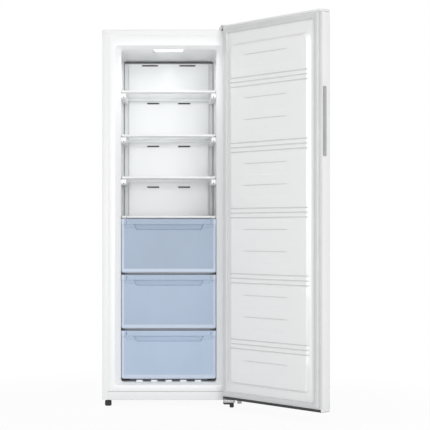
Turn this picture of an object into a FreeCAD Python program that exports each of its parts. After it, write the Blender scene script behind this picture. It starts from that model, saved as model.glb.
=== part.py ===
import FreeCAD, Part
import os
import re
import Sketcher

# Upright freezer, door standing open. Millimetres, X to the right, Y back into the case, Z up.
# The origin lies on the floor under the middle of the case's front face.

os.makedirs("parts", exist_ok=True)
doc = FreeCAD.newDocument("Freezer")
sheet = doc.addObject("Spreadsheet::Sheet", "Size")
aliases = []
formulas = {}
nodes = []


def size(alias, value):
    aliases.append(alias)
    row = str(len(aliases))
    sheet.set("A" + row, alias)
    sheet.set("B" + row, str(value))
    sheet.setAlias("B" + row, alias)


def derived(name, text):
    formulas[name] = "(" + text + ")"


# Case of folded sheet steel.
size("case_width", 595)
size("case_top", 1688)
size("case_foot", 27)
size("case_depth", 586)
size("steel", 0.8)
size("front_fold", 25)
size("rear_fold", 15)
size("rail_top", 65)
size("rail_fold", 40)
derived("case_half", "case_width / 2")
derived("sheet_half", "case_half - steel")
derived("fold_half", "case_half - front_fold")
derived("back_fold_half", "case_half - rear_fold")
derived("sheet_back", "case_depth - steel")
derived("base_low", "case_foot + steel")
derived("base_top", "base_low + steel")

# Machine bay behind and under the liner's step.
size("machine_depth", 236)
size("machine_top", 236)
derived("machine_front", "case_depth - machine_depth")

# Inner liner: splayed mouth, box, and a step over the machine bay.
size("face_side", 55)
size("face_top", 69)
size("face_sill", 27)
size("splay", 27.5)
size("splay_top", 17)
size("splay_sill", 13)
size("wall_back", 88)
size("wall_step", 60)
size("skin", 2)
size("rib_width", 31)
size("rib_pitch", 66)
size("rib_height", 7)
size("rib_gap", 8)
derived("mouth_half", "case_half - face_side")
derived("mouth_low", "rail_top + face_sill")
derived("mouth_high", "case_top - face_top")
derived("bay_half", "mouth_half - splay")
derived("bay_low", "mouth_low + splay_sill")
derived("bay_high", "mouth_high - splay_top")
derived("bay_back", "case_depth - wall_back")
derived("step_front", "machine_front - wall_step")
derived("step_top", "machine_top + wall_step + 1")

# Back wall cover with its air slots.
size("cover_room", 68)
size("cover_rise", 12)
size("cover_wall", 3)
size("cover_gap", 2.5)
size("cover_border", 18)
size("cover_above", 11)
size("slot_height", 8)
size("slot_inner", 45)
size("slot_outer", 104)
size("slot_inner_one", 51)
size("slot_outer_one", 129)
size("slot_drop_one", 23)
size("slot_drop_two", 30)
size("slot_drop_three", 36)
size("return_width", 26)
size("return_pitch", 36)
derived("cover_face", "bay_back - cover_room")
derived("cover_back", "cover_face + cover_rise + cover_wall")
derived("cover_side", "bay_half - cover_gap")
derived("cover_half", "cover_side - cover_border")
derived("cover_top", "bay_high - cover_above")
derived("cover_low", "step_top + 1")

# Glass plates between the drawers, counted up from the liner's floor.
size("plate", 8)
size("plate_front", 32)
size("plate_gap", 1)
size("plate_two_up", 239)
size("plate_one_up", 252)
derived("plate_half", "bay_half - plate_gap")
derived("plate_two", "bay_low + plate_two_up")
derived("plate_one", "plate_two + plate_one_up")

# Shelves: the lowest lies over the top drawer, the others share the height above it.
size("shelf_up", 257)
size("share_one", 0.7583)
size("share_two", 0.4927)
size("share_three", 0.239)
size("shelf_front", 50)
size("shelf_clear", 12)
size("frame_gap", 2.5)
size("frame_height", 13)
size("frame_nose", 9)
size("frame_border", 13)
size("frame_lip", 7)
size("glass", 4)
size("glass_sink", 0.5)
size("rail_reach", 22)
size("rail_front", 46)
size("rail_short", 18)
size("rail_depth", 25)
size("slide_gap", 0.5)
derived("shelf_four", "plate_one + shelf_up")
derived("shelf_room", "bay_high - shelf_four")
derived("shelf_one", "shelf_four + share_one * shelf_room")
derived("shelf_two", "shelf_four + share_two * shelf_room")
derived("shelf_three", "shelf_four + share_three * shelf_room")
derived("shelf_back", "cover_face - shelf_clear")
derived("frame_half", "bay_half - frame_gap")
derived("rail_inner", "bay_half - rail_reach")
derived("rail_back", "shelf_back - rail_short")

# Drawers.
size("drawer_face", 30)
size("drawer_rim", 14)
size("lip_gap", 2)
size("lip_over", 1)
size("lip_height", 24.5)
size("lip_proud", 2)
size("grip_low", 47.5)
size("grip_half", 145)
size("grip_slant", 12)
size("grip_deep", 10)
size("drawer_wall", 2.5)
size("box_gap", 5)
size("drawer_clear", 8)
size("drawer_short_gap", 10)
size("top_gap", 1.5)
size("under_one", 3)
size("under_two", 8)
size("under_three", 15)
size("drawer_drop", 30)
derived("lip_half", "bay_half - lip_gap")
derived("drawer_half", "lip_half - lip_over")
derived("drawer_box", "rail_inner - box_gap")
derived("drawer_back", "shelf_back - drawer_clear")
derived("drawer_short", "step_front - drawer_short_gap")
derived("drawer_one_top", "shelf_four - frame_height - top_gap")
derived("drawer_two_top", "plate_one - plate - slide_gap")
derived("drawer_three_top", "plate_two - plate - slide_gap")
derived("drawer_one_low", "plate_one + under_one")
derived("drawer_two_low", "plate_two + under_two")
derived("drawer_three_low", "bay_low + under_three")

# Door, given as if it were shut, with its hinge line.
size("open_angle", 130)
size("pin_inset", 17)
size("pin_radius", 6)
size("run_gap", 0.05)
size("door_gap", 10)
size("door_thick", 54)
size("door_low", 40)
size("door_over", 9)
size("trim_height", 12)
size("cap_height", 10)
size("edge_strip", 13)
size("edge_low", 15)
size("edge_high", 17)
size("raise_gap", 2)
size("raise_above", 21)
size("raise_below", 12)
size("raise_height", 17)
size("raise_slope", 10)
size("raise_corner", 30)
size("groove_height", 7)
size("groove_depth", 3)
size("groove_pitch", 20)
size("group_low_end", 177)
size("group_high_end", 174)
size("gasket_width", 22)
size("gasket_gap", 0.3)
size("recess_under", 604)
size("recess_height", 286)
size("recess_inset", 13)
size("recess_width", 19)
size("recess_deep", 30)
size("bush_wall", 3)
size("bush_length", 22)
size("panel_half", 60)
size("panel_height", 40)
size("panel_proud", 1.2)
size("panel_drop", 80)
derived("pin_across", "case_half - pin_inset")
derived("door_inside", "-door_gap")
derived("door_front", "door_inside - door_thick")
derived("pin_deep", "door_front + pin_inset")
derived("door_top", "case_top + door_over")
derived("skin_low", "door_low + trim_height")
derived("skin_top", "door_top - cap_height")
derived("liner_edge", "case_half - edge_strip")
derived("liner_low", "door_low + edge_low")
derived("liner_high", "door_top - edge_high")
derived("raise_half", "mouth_half - raise_gap")
derived("raise_low", "mouth_low + raise_above")
derived("raise_high", "mouth_high - raise_below")
derived("raise_top", "door_inside + raise_height")
derived("group_low", "raise_low + group_low_end")
derived("group_pitch", "(raise_high - group_high_end - group_low) / 4")
derived("recess_low", "door_top - recess_under")
derived("recess_high", "recess_low + recess_height")
derived("recess_back", "door_inside - recess_inset")
derived("recess_front", "recess_back - recess_width")
derived("bush_radius", "pin_radius + run_gap + bush_wall")

# Hinge brackets and their screws.
size("bracket", 3)
size("bracket_width", 50)
size("bracket_side", 2.5)
size("top_bracket_width", 64)
size("bracket_back", 70)
size("bracket_gap", 0.5)
size("riser_front", 4)
size("pin_grip", 3)
size("low_lip_up", 7)
size("low_lip_down", 5)
size("stop_reach", 57)
size("stop_inner", 44)
size("stop_half", 8)
size("stop_clear", 12)
size("guard_reach", 40)
size("guard_low", 11)
size("screw", 2.5)
size("screw_gap", 0.4)
size("screw_head", 5)
size("screw_head_high", 2.5)
size("screw_length", 20)
size("screw_in", 9)
size("screw_deep", 25)
derived("bracket_right", "case_half - bracket_side")
derived("bracket_left", "bracket_right - bracket_width")
derived("hinge_left", "bracket_right - top_bracket_width")
derived("bracket_front", "door_front + pin_inset - 15")
derived("screw_hole", "screw + screw_gap")
derived("top_hole_end", "case_top - screw_length - screw_gap")
derived("low_hole_end", "case_foot + screw_length + screw_gap")
derived("top_leg_low", "door_top + bracket_gap")
derived("top_leg_high", "top_leg_low + bracket")
derived("top_foot_high", "case_top + bracket")
derived("low_leg_low", "case_foot - bracket")
derived("guard_left", "bracket_left - 2")

# Feet and rollers.
size("foot_inset", 26)
size("foot_deep", 16)
size("foot_radius", 14.5)
size("small_foot", 9.3)
size("foot_height", 24)
size("foot_stem", 4)
size("stem_long", 40)
size("small_stem", 3)
size("roller_inset", 47.5)
size("roller_radius", 12)
size("roller_half", 8)
size("axle", 3)
size("cheek", 1.5)
derived("foot_across", "case_half - foot_inset")
derived("roller_across", "case_half - roller_inset")
derived("roller_deep", "case_depth - 41")

# Cooling parts.
size("coil_tube", 4)
size("coil_pitch", 40)
size("coil_side", 37)
size("coil_up", 153)
size("coil_room", 28)
size("fin_half", 168)
size("fin_pitch", 16)
size("fin_reach", 18)
size("fin", 0.6)
size("fin_gap", 0.35)
size("heater_radius", 5)
size("heater_drop", 45)
size("fan_up", 483)
size("fan_gap", 4)
size("fan_bore", 54)
size("fan_half", 62)
size("fan_arm", 3)
size("arm_half", 10)
size("window_reach", 40)
size("fan_blade", 51)
size("fan_hub", 16)
size("fan_shaft", 2)
size("motor_depth", 16)
size("pump_across", 110)
size("pump_inset", 121)
size("pump_radius", 62)
size("pump_height", 160)
size("stub", 12)
size("outlet_up", 120)
size("inlet_up", 100)
size("mount_radius", 9)
size("mount_height", 16.4)
size("mount_side", 58)
size("mount_front", 50)
size("tray_gap", 2)
size("tray_height", 21)
size("tray_half", 78)
size("tray_wall", 1.5)
size("drain_behind", 10)
size("drain_radius", 8)
size("drain_dip", 8)
size("drain_clear", 0.4)
size("warm_tube", 3)
size("warm_pitch", 24)
size("warm_low", 60)
size("warm_side", 47.5)
size("warm_right", -20)
size("warm_inset", 66)
size("pipe_tube", 3)
size("pipe_bend", 12)
size("pipe_inset", 41)
size("upper_drop", 26)
size("gland", 8.6)
size("gland_inset", 57.5)
size("gland_up", 80)
size("louvre_half", 200)
size("louvre_pitch", 18)
size("lens_half", 71)
size("lens_front", 30)
size("lens_back", 90)
size("lens_height", 10)
size("lens_taper", 8)
size("lens_wall", 1.5)
derived("coil_deep", "bay_back - coil_room")
derived("coil_half", "bay_half - coil_side")
derived("coil_low", "step_top + coil_up")
derived("coil_high", "coil_low + 4 * coil_pitch")
derived("riser", "coil_half - coil_pitch / 2")
derived("fan_height", "step_top + fan_up")
derived("fan_front", "cover_back + fan_gap")
derived("fan_rear", "bay_back - motor_depth - 2")
derived("pump_deep", "case_depth - pump_inset")
derived("pump_low", "base_top + mount_height")
derived("pump_top", "pump_low + pump_height")
derived("tray_low", "pump_top + tray_gap")
derived("tray_top", "tray_low + tray_height")
derived("drain_across", "pump_across")
derived("drain_deep", "pump_deep + drain_behind")
derived("warm_left", "warm_side - case_half")
derived("warm_deep", "case_depth - warm_inset")
derived("warm_high", "warm_low + 5 * warm_pitch")
derived("pipe_deep", "case_depth - pipe_inset")
derived("upper_run", "machine_top - upper_drop")
derived("coil_turn", "coil_half + coil_pitch / 2")
derived("hub_front", "fan_front + 3")
derived("hub_rear", "fan_rear - 7")
derived("outlet", "pump_across - pump_radius - stub")
derived("inlet", "pump_across + pump_radius + stub")
derived("beside", "warm_right + pipe_bend * 2")
derived("aside", "inlet + pipe_bend * 2")
derived("drain_end", "tray_top - drain_dip")
derived("gland_across", "case_half - gland_inset")
doc.recompute()


def linked(text):
    def expanded(word):
        return linked(formulas[word.group(0)]) if word.group(0) in formulas else "Size." + word.group(0)
    return re.sub(r"[a-z][a-z_]*[a-z]", expanded, str(text))


def number(text):
    return float(sheet.evalExpression(linked(text)))


def bind(item, path, text):
    item.setExpression(path, linked(text))


def place(item, across, deep, up):
    bind(item, "Placement.Base.x", across)
    bind(item, "Placement.Base.y", deep)
    bind(item, "Placement.Base.z", up)


def block(left, right, front, back, low, high):
    item = doc.addObject("Part::Box", "block")
    bind(item, "Length", f"({right}) - ({left})")
    bind(item, "Width", f"({back}) - ({front})")
    bind(item, "Height", f"({high}) - ({low})")
    place(item, left, front, low)
    return item


def rod(axis, radius, low, high, first, second):
    item = doc.addObject("Part::Cylinder", "rod")
    bind(item, "Radius", radius)
    bind(item, "Height", f"({high}) - ({low})")
    if axis == "x":
        item.Placement.Rotation = FreeCAD.Rotation(FreeCAD.Vector(0, 1, 0), 90)
        place(item, low, first, second)
    elif axis == "y":
        item.Placement.Rotation = FreeCAD.Rotation(FreeCAD.Vector(1, 0, 0), -90)
        place(item, first, low, second)
    else:
        place(item, first, second, low)
    return item


def frustum(near, far, front, back):
    item = doc.addObject("Part::Wedge", "frustum")
    bind(item, "Ymin", front)
    bind(item, "Ymax", back)
    for path, text in zip(("Xmin", "Xmax", "Zmin", "Zmax"), near):
        bind(item, path, text)
    for path, text in zip(("X2min", "X2max", "Z2min", "Z2max"), far):
        bind(item, path, text)
    return item


def together(items):
    item = doc.addObject("Part::Compound", "together")
    item.Links = list(items)
    return item


def fuse(*items):
    item = doc.addObject("Part::MultiFuse", "fuse")
    item.Shapes = list(items)
    item.Refine = True
    return item


def cut(base, *tools):
    item = doc.addObject("Part::Cut", "cut")
    item.Base = base
    item.Tool = tools[0] if len(tools) == 1 else fuse(*tools)
    return item


def common(first, second):
    item = doc.addObject("Part::Common", "common")
    item.Base = first
    item.Tool = second
    return item


def drawn(body, plane, level, outline):
    sketch = body.newObject("Sketcher::SketchObject", "outline")
    sketch.AttachmentSupport = ([item for item in body.Origin.OriginFeatures if item.Role == plane][0], [""])
    sketch.MapMode = "FlatFace"
    bind(sketch, "AttachmentOffset.Base.z", level)
    corners = [FreeCAD.Vector(number(across), number(up), 0) for across, up in outline]
    for index, corner in enumerate(corners):
        sketch.addGeometry(Part.LineSegment(corner, corners[(index + 1) % len(corners)]))
    for index in range(len(corners)):
        sketch.addConstraint(Sketcher.Constraint("Coincident", index, 2, (index + 1) % len(corners), 1))
    for index, (across, up) in enumerate(outline):
        for kind, text in (("DistanceX", across), ("DistanceY", up)):
            row = sketch.addConstraint(Sketcher.Constraint(kind, -1, 1, index, 1, number(text)))
            sketch.renameConstraint(row, kind + "_" + str(index))
            bind(sketch, "Constraints." + kind + "_" + str(index), text)
    return sketch


def prism(plane, outline, low, high):
    body = doc.addObject("PartDesign::Body", "prism")
    towards_front = plane == "XZ_Plane"
    sketch = drawn(body, plane, f"-({low})" if towards_front else low, outline)
    pad = body.newObject("PartDesign::Pad", "pad")
    pad.Profile = sketch
    pad.Reversed = towards_front
    bind(pad, "Length", f"({high}) - ({low})")
    sketch.Visibility = False
    return body


def turned(outline, across, deep):
    body = doc.addObject("PartDesign::Body", "turned")
    sketch = drawn(body, "XZ_Plane", "0", outline)
    spin = body.newObject("PartDesign::Revolution", "spin")
    spin.Profile = sketch
    spin.ReferenceAxis = (sketch, ["V_Axis"])
    spin.Angle = 360
    bind(body, "Placement.Base.x", across)
    bind(body, "Placement.Base.y", deep)
    return body


def rounded(item, radius, chosen):
    doc.recompute()
    fillet = doc.addObject("Part::Fillet", "rounded")
    fillet.Base = item
    size_here = number(radius)
    edges = enumerate(item.Shape.Edges, 1)
    fillet.Edges = [(index, size_here, size_here) for index, edge in edges if chosen(edge)]
    return fillet


def runs_along(axis):
    def chosen(edge):
        step = edge.Vertexes[-1].Point - edge.Vertexes[0].Point
        others = [abs(value) for name, value in zip("xyz", step) if name != axis]
        return len(edge.Vertexes) == 2 and step.Length > 0.1 and max(others) < 0.01
    return chosen


def pipe(points, tube, bend):
    corners = [FreeCAD.Vector(*[number(text) for text in point]) for point in points]
    ways = [(after - before).normalize() for before, after in zip(corners, corners[1:])]
    pieces = []
    for index, way in enumerate(ways):
        first = "0" if index == 0 else bend
        last = "0" if index == len(ways) - 1 else bend
        sign = round(way.x + way.y + way.z)
        axis = [abs(round(value)) for value in way].index(1)
        length = f"({sign} * (({points[index + 1][axis]}) - ({points[index][axis]})) - ({first}) - ({last}))"
        if number(length) > 0.001:
            run = doc.addObject("Part::Cylinder", "run")
            bind(run, "Radius", tube)
            bind(run, "Height", length)
            run.Placement.Rotation = FreeCAD.Rotation(FreeCAD.Vector(0, 0, 1), way)
            start = [f"({text}) + {round(step)} * ({first})" for text, step in zip(points[index], way)]
            place(run, *start)
            pieces.append(run)
    for index, (before, after) in enumerate(zip(ways, ways[1:])):
        elbow = doc.addObject("Part::Torus", "elbow")
        bind(elbow, "Radius1", bend)
        bind(elbow, "Radius2", tube)
        elbow.Angle3 = 90
        elbow.Placement.Rotation = FreeCAD.Rotation(after * -1, before, before.cross(after), "XYZ")
        steps = [round(second) - round(first) for first, second in zip(before, after)]
        place(elbow, *[f"({text}) + {step} * ({bend})" for text, step in zip(points[index + 1], steps)])
        pieces.append(elbow)
    return fuse(*pieces)


def node(name, item):
    item.Label = name
    nodes.append(item)


def door_node(name, item):
    held = together([item])
    turn = "rotation(vector(0; 0; 1); Size.open_angle)"
    centre = f"vector({linked('pin_across')}; {linked('pin_deep')}; 0)"
    held.setExpression("Placement", f"placement(vector(0; 0; 0); {turn}; {centre})")
    node(name, held)


# Hinge screws: three down through the upper bracket, three up through the lower one. Their
# clearance holes run through every sheet and foam that they pass.
screw_spots = [("bracket_left + screw_in", "screw_deep"), ("bracket_right - screw_in", "screw_deep"),
               ("bracket_left + bracket_width / 2", "screw_deep * 2")]
screws = []
top_holes = []
low_holes = []
for across, deep in screw_spots:
    shank = rod("z", "screw", "case_top - screw_length", "top_foot_high", across, deep)
    head = rod("z", "screw_head", "top_foot_high", "top_foot_high + screw_head_high", across, deep)
    screws.append(fuse(shank, head))
    shank = rod("z", "screw", "low_leg_low", "case_foot + screw_length", across, deep)
    head = rod("z", "screw_head", "low_leg_low - screw_head_high", "low_leg_low", across, deep)
    screws.append(fuse(shank, head))
    top_holes.append(rod("z", "screw_hole", "top_hole_end", "top_foot_high + 1", across, deep))
    low_holes.append(rod("z", "screw_hole", "low_leg_low - 1", "low_hole_end", across, deep))
top_holes = together(top_holes)
low_holes = together(low_holes)
node("hinge_screws", together(screws))


# Side panels: one sheet each, folded in along the front and the back.
def side_panel(name, sign):
    corners = [("case_half", "0"), ("fold_half", "0"), ("fold_half", "steel"), ("sheet_half", "steel"),
               ("sheet_half", "sheet_back"), ("back_fold_half", "sheet_back"), ("back_fold_half", "case_depth"),
               ("case_half", "case_depth")]
    outline = [(f"{sign} * {across}", deep) for across, deep in corners]
    node(name, prism("XY_Plane", outline, "case_foot", "case_top"))


side_panel("side_panel_left", -1)
side_panel("side_panel_right", 1)

# Top panel between the side panels, with its own front and rear folds.
top_sheet = block("-sheet_half", "sheet_half", "steel", "sheet_back", "case_top - steel", "case_top")
top_front = block("-fold_half", "fold_half", "0", "steel", "case_top - front_fold", "case_top")
top_rear = block("-back_fold_half", "back_fold_half", "sheet_back", "case_depth", "case_top - rear_fold",
                 "case_top")
node("top_panel", cut(fuse(top_sheet, top_front, top_rear), top_holes))

# Back panel, a flat sheet behind the rear folds.
node("back_panel", block("-sheet_half", "sheet_half", "sheet_back - steel", "sheet_back",
                         "machine_top + steel", "case_top - steel"))

# Front rail under the door opening: a folded sheet between the side panels.
rail_outline = [("0", "case_foot"), ("rail_fold", "case_foot"), ("rail_fold", "base_low"),
                ("steel", "base_low"), ("steel", "rail_top"), ("0", "rail_top")]
rail = prism("YZ_Plane", rail_outline, "-fold_half", "fold_half")
foot_bore = rod("z", "foot_stem + run_gap", "0", "case_foot + 10", "-foot_across", "foot_deep")
node("front_rail", cut(rail, foot_bore, low_holes))

# Base plate under the whole case; it carries the compressor and the rollers.
base = block("-sheet_half", "sheet_half", "steel", "sheet_back", "base_low", "base_top")
node("base_plate", cut(base, foot_bore, low_holes))

# Bulkhead between the foam and the machine bay.
drain_hole = rod("z", "drain_radius + drain_clear", "machine_top - 10", "step_top + 1", "drain_across",
                 "drain_deep")
pipe_holes = []
for sign in (-1, 1):
    pipe_holes.append(rod("z", "pipe_tube + drain_clear", "machine_top - 10", "machine_top + 10",
                          f"{sign} * riser", "pipe_deep"))
bulk_outline = [("machine_front", "base_top"), ("machine_front + steel", "base_top"),
                ("machine_front + steel", "machine_top"), ("sheet_back", "machine_top"),
                ("sheet_back", "machine_top + steel"), ("machine_front", "machine_top + steel")]
bulkhead = prism("YZ_Plane", bulk_outline, "-sheet_half", "sheet_half")
node("machine_bulkhead", cut(bulkhead, drain_hole, *pipe_holes))

# Inner liner: flat front frame, splayed mouth, box with the step over the machine bay, floor ribs.


def liner_shape(spare):
    grown = f"({spare})"
    mouth = [f"-(mouth_half + {grown})", f"mouth_half + {grown}", f"mouth_low - {grown}",
             f"mouth_high + {grown}"]
    throat = [f"-(bay_half + {grown})", f"bay_half + {grown}", f"bay_low - {grown}", f"bay_high + {grown}"]
    upper = block(throat[0], throat[1], "splay", f"bay_back + {grown}", f"step_top - {grown}", throat[3])
    lower = block(throat[0], throat[1], "splay", f"step_front + {grown}", throat[2], throat[3])
    return frustum(mouth, throat, "0", "splay"), upper, lower


front_frame = block("-fold_half", "fold_half", "0", "skin", "rail_top", "case_top - front_fold")
liner_outer = fuse(front_frame, *liner_shape("skin"))
liner_inner = fuse(*liner_shape("0"))
ribs = []
for index in range(-2, 3):
    middle = f"({index} * rib_pitch)"
    ribs.append(block(f"{middle} - rib_width / 2", f"{middle} + rib_width / 2", "splay + rib_gap",
                      "step_front - 5", "bay_low - skin / 2", "bay_low + rib_height"))
tube_holes = []
for across, level in (("riser", "coil_low"), ("-riser", "coil_high")):
    tube_holes.append(rod("y", "coil_tube + drain_clear", "bay_back - 1", "bay_back + skin + 1", across, level))
liner_shell = cut(liner_outer, liner_inner)
node("inner_liner", cut(fuse(liner_shell, *ribs), drain_hole, *tube_holes))

# Insulation foam: fills the case around the liner, leaving the machine bay free.
foam_block = block("-sheet_half", "sheet_half", "steel", "sheet_back - steel", "base_top", "case_top - steel")
machine_bay = block("-sheet_half", "sheet_half", "machine_front", "case_depth", "0", "machine_top + steel")
foot_well = rod("z", "foot_stem + 2", "0", "case_foot + stem_long + 22", "-foot_across", "foot_deep")
room = "(coil_tube + 1)"
pipe_rooms = []
for sign, level in ((1, "coil_low"), (-1, "coil_high")):
    middle = f"({sign} * riser)"
    pipe_rooms.append(block(f"{middle} - {room}", f"{middle} + {room}", "bay_back", f"pipe_deep + {room}",
                            f"{level} - coil_pitch / 2 - {room}", f"{level} + {room}"))
    pipe_rooms.append(block(f"{middle} - {room}", f"{middle} + {room}", f"pipe_deep - {room}",
                            f"pipe_deep + {room}", "machine_top - 1", level))
node("insulation_foam", cut(foam_block, liner_outer, machine_bay, foot_well, drain_hole, top_holes, low_holes,
                            *pipe_rooms))

# Side rails that carry the shelves and the glass plates between the drawers.
shelf_tops = ["shelf_one", "shelf_two", "shelf_three", "shelf_four"]
ledges = [f"({top} - frame_height)" for top in shelf_tops] + ["(plate_one - plate)", "(plate_two - plate)"]
rails = []
for index, top in enumerate(ledges):
    drop = "rail_depth" if index < 4 else "(rail_depth / 2)"
    for sign in (-1, 1):
        low, high = sorted([f"{sign} * rail_inner", f"{sign} * bay_half"], key=number)
        rail = block(low, high, "rail_front", "rail_back", f"{top} - {drop} + 0.5", f"{top} - 0.5")
        rails.append(rail)
node("shelf_rails", together(rails))

# Back wall cover: a dished sheet with four pairs of air outlets and a row of returns at its foot.
cover_sheet = block("-cover_side", "cover_side", "cover_back - cover_wall", "cover_back", "cover_low",
                    "cover_top")
cover_dish = block("-cover_half", "cover_half", "cover_face", "cover_back - cover_wall",
                   "cover_low", "cover_top")
cover_hollow = block("-(cover_half - cover_wall)", "cover_half - cover_wall", "cover_face + cover_wall",
                     "cover_back + 1", "cover_low + cover_wall", "cover_top - cover_wall")
slots = []
levels = ["cover_top - cover_above", "shelf_one - slot_drop_one", "shelf_two - slot_drop_two",
          "shelf_three - slot_drop_three"]
for index, middle in enumerate(levels):
    suffix = "_one" if index == 0 else ""
    for sign in (-1, 1):
        low, high = sorted([f"{sign} * slot_inner{suffix}", f"{sign} * slot_outer{suffix}"], key=number)
        slots.append(block(low, high, "cover_face - 1", "cover_back + 1",
                           f"{middle} - slot_height / 2", f"{middle} + slot_height / 2"))
for index in range(-4, 5):
    middle = f"({index} * return_pitch)"
    slots.append(block(f"{middle} - return_width / 2", f"{middle} + return_width / 2", "cover_face - 1",
                       "cover_back + 1", "cover_low + 19", "cover_low + 19 + slot_height"))
node("evaporator_cover", cut(fuse(cover_sheet, cover_dish), cover_hollow, together(slots)))

# Evaporator: one winding tube through a stack of fins.
coil_rows = 5
coil_path = [("riser", "pipe_deep", "coil_low - coil_pitch / 2"), ("riser", "pipe_deep", "coil_low")]
for row in range(coil_rows):
    level = f"(coil_low + {row} * coil_pitch)"
    ends = ["coil_turn", "-coil_turn"] if row % 2 == 0 else ["-coil_turn", "coil_turn"]
    coil_path += [(ends[0], "coil_deep", level), (ends[1], "coil_deep", level)]
coil_path[2] = ("riser", "coil_deep", "coil_low")
coil_path[-1] = ("-riser", "coil_deep", "coil_high")
coil_path += [("-riser", "pipe_deep", "coil_high"), ("-riser", "pipe_deep", "coil_high - coil_pitch / 2")]
node("evaporator_tube", pipe(coil_path, "coil_tube", "coil_pitch / 2"))
fins = []
for index in range(-7, 9):
    middle = f"({index} * fin_pitch - fin_pitch / 2)"
    fins.append(block(middle, f"{middle} + fin", "coil_deep - fin_reach", "coil_deep + fin_reach",
                      "coil_low - fin_reach", "coil_high + fin_reach"))
bores = []
for row in range(coil_rows):
    bores.append(rod("x", "coil_tube + fin_gap", "-coil_half", "coil_half", "coil_deep",
                     f"coil_low + {row} * coil_pitch"))
node("evaporator_fins", cut(together(fins), together(bores)))

# Defrost heater, a rod under the fins.
node("defrost_heater", rod("x", "heater_radius", "-fin_half", "fin_half", "coil_deep",
                           "coil_low - heater_drop"))

# Circulating fan: square ring with an arm, motor behind it, rotor on the motor's shaft.
fan_ring = block("-fan_half", "fan_half", "fan_front", "fan_rear", "fan_height - fan_half",
                 "fan_height + fan_half")
fan_tunnel = rod("y", "fan_bore", "fan_front - 1", "fan_rear - fan_arm", "0", "fan_height")
windows = []
for sign_across in (-1, 1):
    for sign_up in (-1, 1):
        left, right = sorted([f"{sign_across} * arm_half", f"{sign_across} * window_reach"], key=number)
        reach = [f"fan_height + {sign_up} * arm_half", f"fan_height + {sign_up} * window_reach"]
        low, high = sorted(reach, key=number)
        windows.append(block(left, right, "fan_rear - fan_arm - 1", "fan_rear + 1", low, high))
shaft_hole = rod("y", "fan_shaft + 1", "fan_rear - fan_arm - 1", "fan_rear + 1", "0", "fan_height")
node("fan_housing", cut(fan_ring, fan_tunnel, shaft_hole, together(windows)))
motor_can = rod("y", "fan_hub + 4", "fan_rear", "fan_rear + motor_depth", "0", "fan_height")
motor_shaft = rod("y", "fan_shaft", "fan_front + 2", "fan_rear", "0", "fan_height")
node("fan_motor", fuse(motor_can, motor_shaft))
hub = rod("y", "fan_hub", "hub_front", "hub_rear", "0", "fan_height")
blades = [hub]
for index in range(5):
    blade = doc.addObject("Part::Box", "blade")
    bind(blade, "Length", "fan_blade - fan_hub + 3")
    blade.Width = 1.6
    blade.Height = 26
    middle = FreeCAD.Vector(0, number("(hub_front + hub_rear) / 2"), number("fan_height"))
    turn = FreeCAD.Rotation(FreeCAD.Vector(0, 1, 0), 72 * index)
    pitch = FreeCAD.Rotation(FreeCAD.Vector(1, 0, 0), 55)
    offset = FreeCAD.Placement(FreeCAD.Vector(number("fan_hub - 3"), -0.8, -13), FreeCAD.Rotation())
    blade.Placement = FreeCAD.Placement(middle, turn * pitch) * offset
    blades.append(blade)
hub_bore = rod("y", "fan_shaft + run_gap", "hub_front - 1", "hub_rear + 1", "0", "fan_height")
node("fan_rotor", cut(fuse(*blades), hub_bore))

# Ceiling lamp: shallow hollow lens over a small board.


def lens_block(spare):
    lens = doc.addObject("Part::Wedge", "lens")
    grown = f"({spare})"
    bind(lens, "Xmin", f"-(lens_half - lens_taper - {grown})")
    bind(lens, "Xmax", f"lens_half - lens_taper - {grown}")
    bind(lens, "X2min", f"-(lens_half - {grown})")
    bind(lens, "X2max", f"lens_half - {grown}")
    bind(lens, "Ymin", grown)
    bind(lens, "Ymax", "lens_height")
    for path, text in (("Zmin", f"-lens_back + 4 + {grown}"), ("Zmax", f"-lens_front - 4 - {grown}"),
                       ("Z2min", f"-lens_back + {grown}"), ("Z2max", f"-lens_front - {grown}")):
        bind(lens, path, text)
    lens.Placement.Rotation = FreeCAD.Rotation(FreeCAD.Vector(1, 0, 0), 90)
    place(lens, "0", "0", "bay_high - lens_height")
    return lens


node("lamp_lens", cut(lens_block("0"), lens_block("lens_wall")))
node("lamp_board", block("-(lens_half - 21)", "lens_half - 21", "lens_front + 15", "lens_back - 15",
                         "bay_high - 1.6", "bay_high"))

# Meltwater drain from the step down to the tray on the compressor.
drain_wall = rod("z", "drain_radius", "drain_end", "step_top + 0.5", "drain_across", "drain_deep")
drain_collar = rod("z", "drain_radius + 5", "step_top", "step_top + 1.5", "drain_across", "drain_deep")
drain_bore = rod("z", "drain_radius - 1.5", "drain_end - 1", "step_top + 2", "drain_across", "drain_deep")
node("drain_tube", cut(fuse(drain_wall, drain_collar), drain_bore))

# Compressor: domed pot on a foot plate, on four rubber mounts, with the meltwater tray above it.
pot_outline = [("0", "pump_low"), ("pump_radius", "pump_low"), ("pump_radius", "pump_top - 40"),
               ("pump_radius - 10", "pump_top - 16"), ("pump_radius - 28", "pump_top - 3"), ("0", "pump_top")]
pot = turned(pot_outline, "pump_across", "pump_deep")
pot_plate = block("pump_across - mount_side - 14", "pump_across + mount_side + 14",
                  "pump_deep - mount_front - 12", "pump_deep + mount_front + 12", "pump_low", "pump_low + 3")
outlet_stub = rod("x", "pipe_tube + 1.5", "outlet", "pump_across", "pump_deep", "outlet_up")
inlet_stub = rod("x", "pipe_tube + 1.5", "pump_across", "inlet", "pump_deep", "inlet_up")
node("compressor", fuse(pot, pot_plate, outlet_stub, inlet_stub))
mounts = []
for across in ("pump_across - mount_side", "pump_across + mount_side"):
    for deep in ("pump_deep - mount_front", "pump_deep + mount_front"):
        mounts.append(rod("z", "mount_radius", "base_top", "pump_low", across, deep))
node("compressor_mounts", together(mounts))
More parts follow.
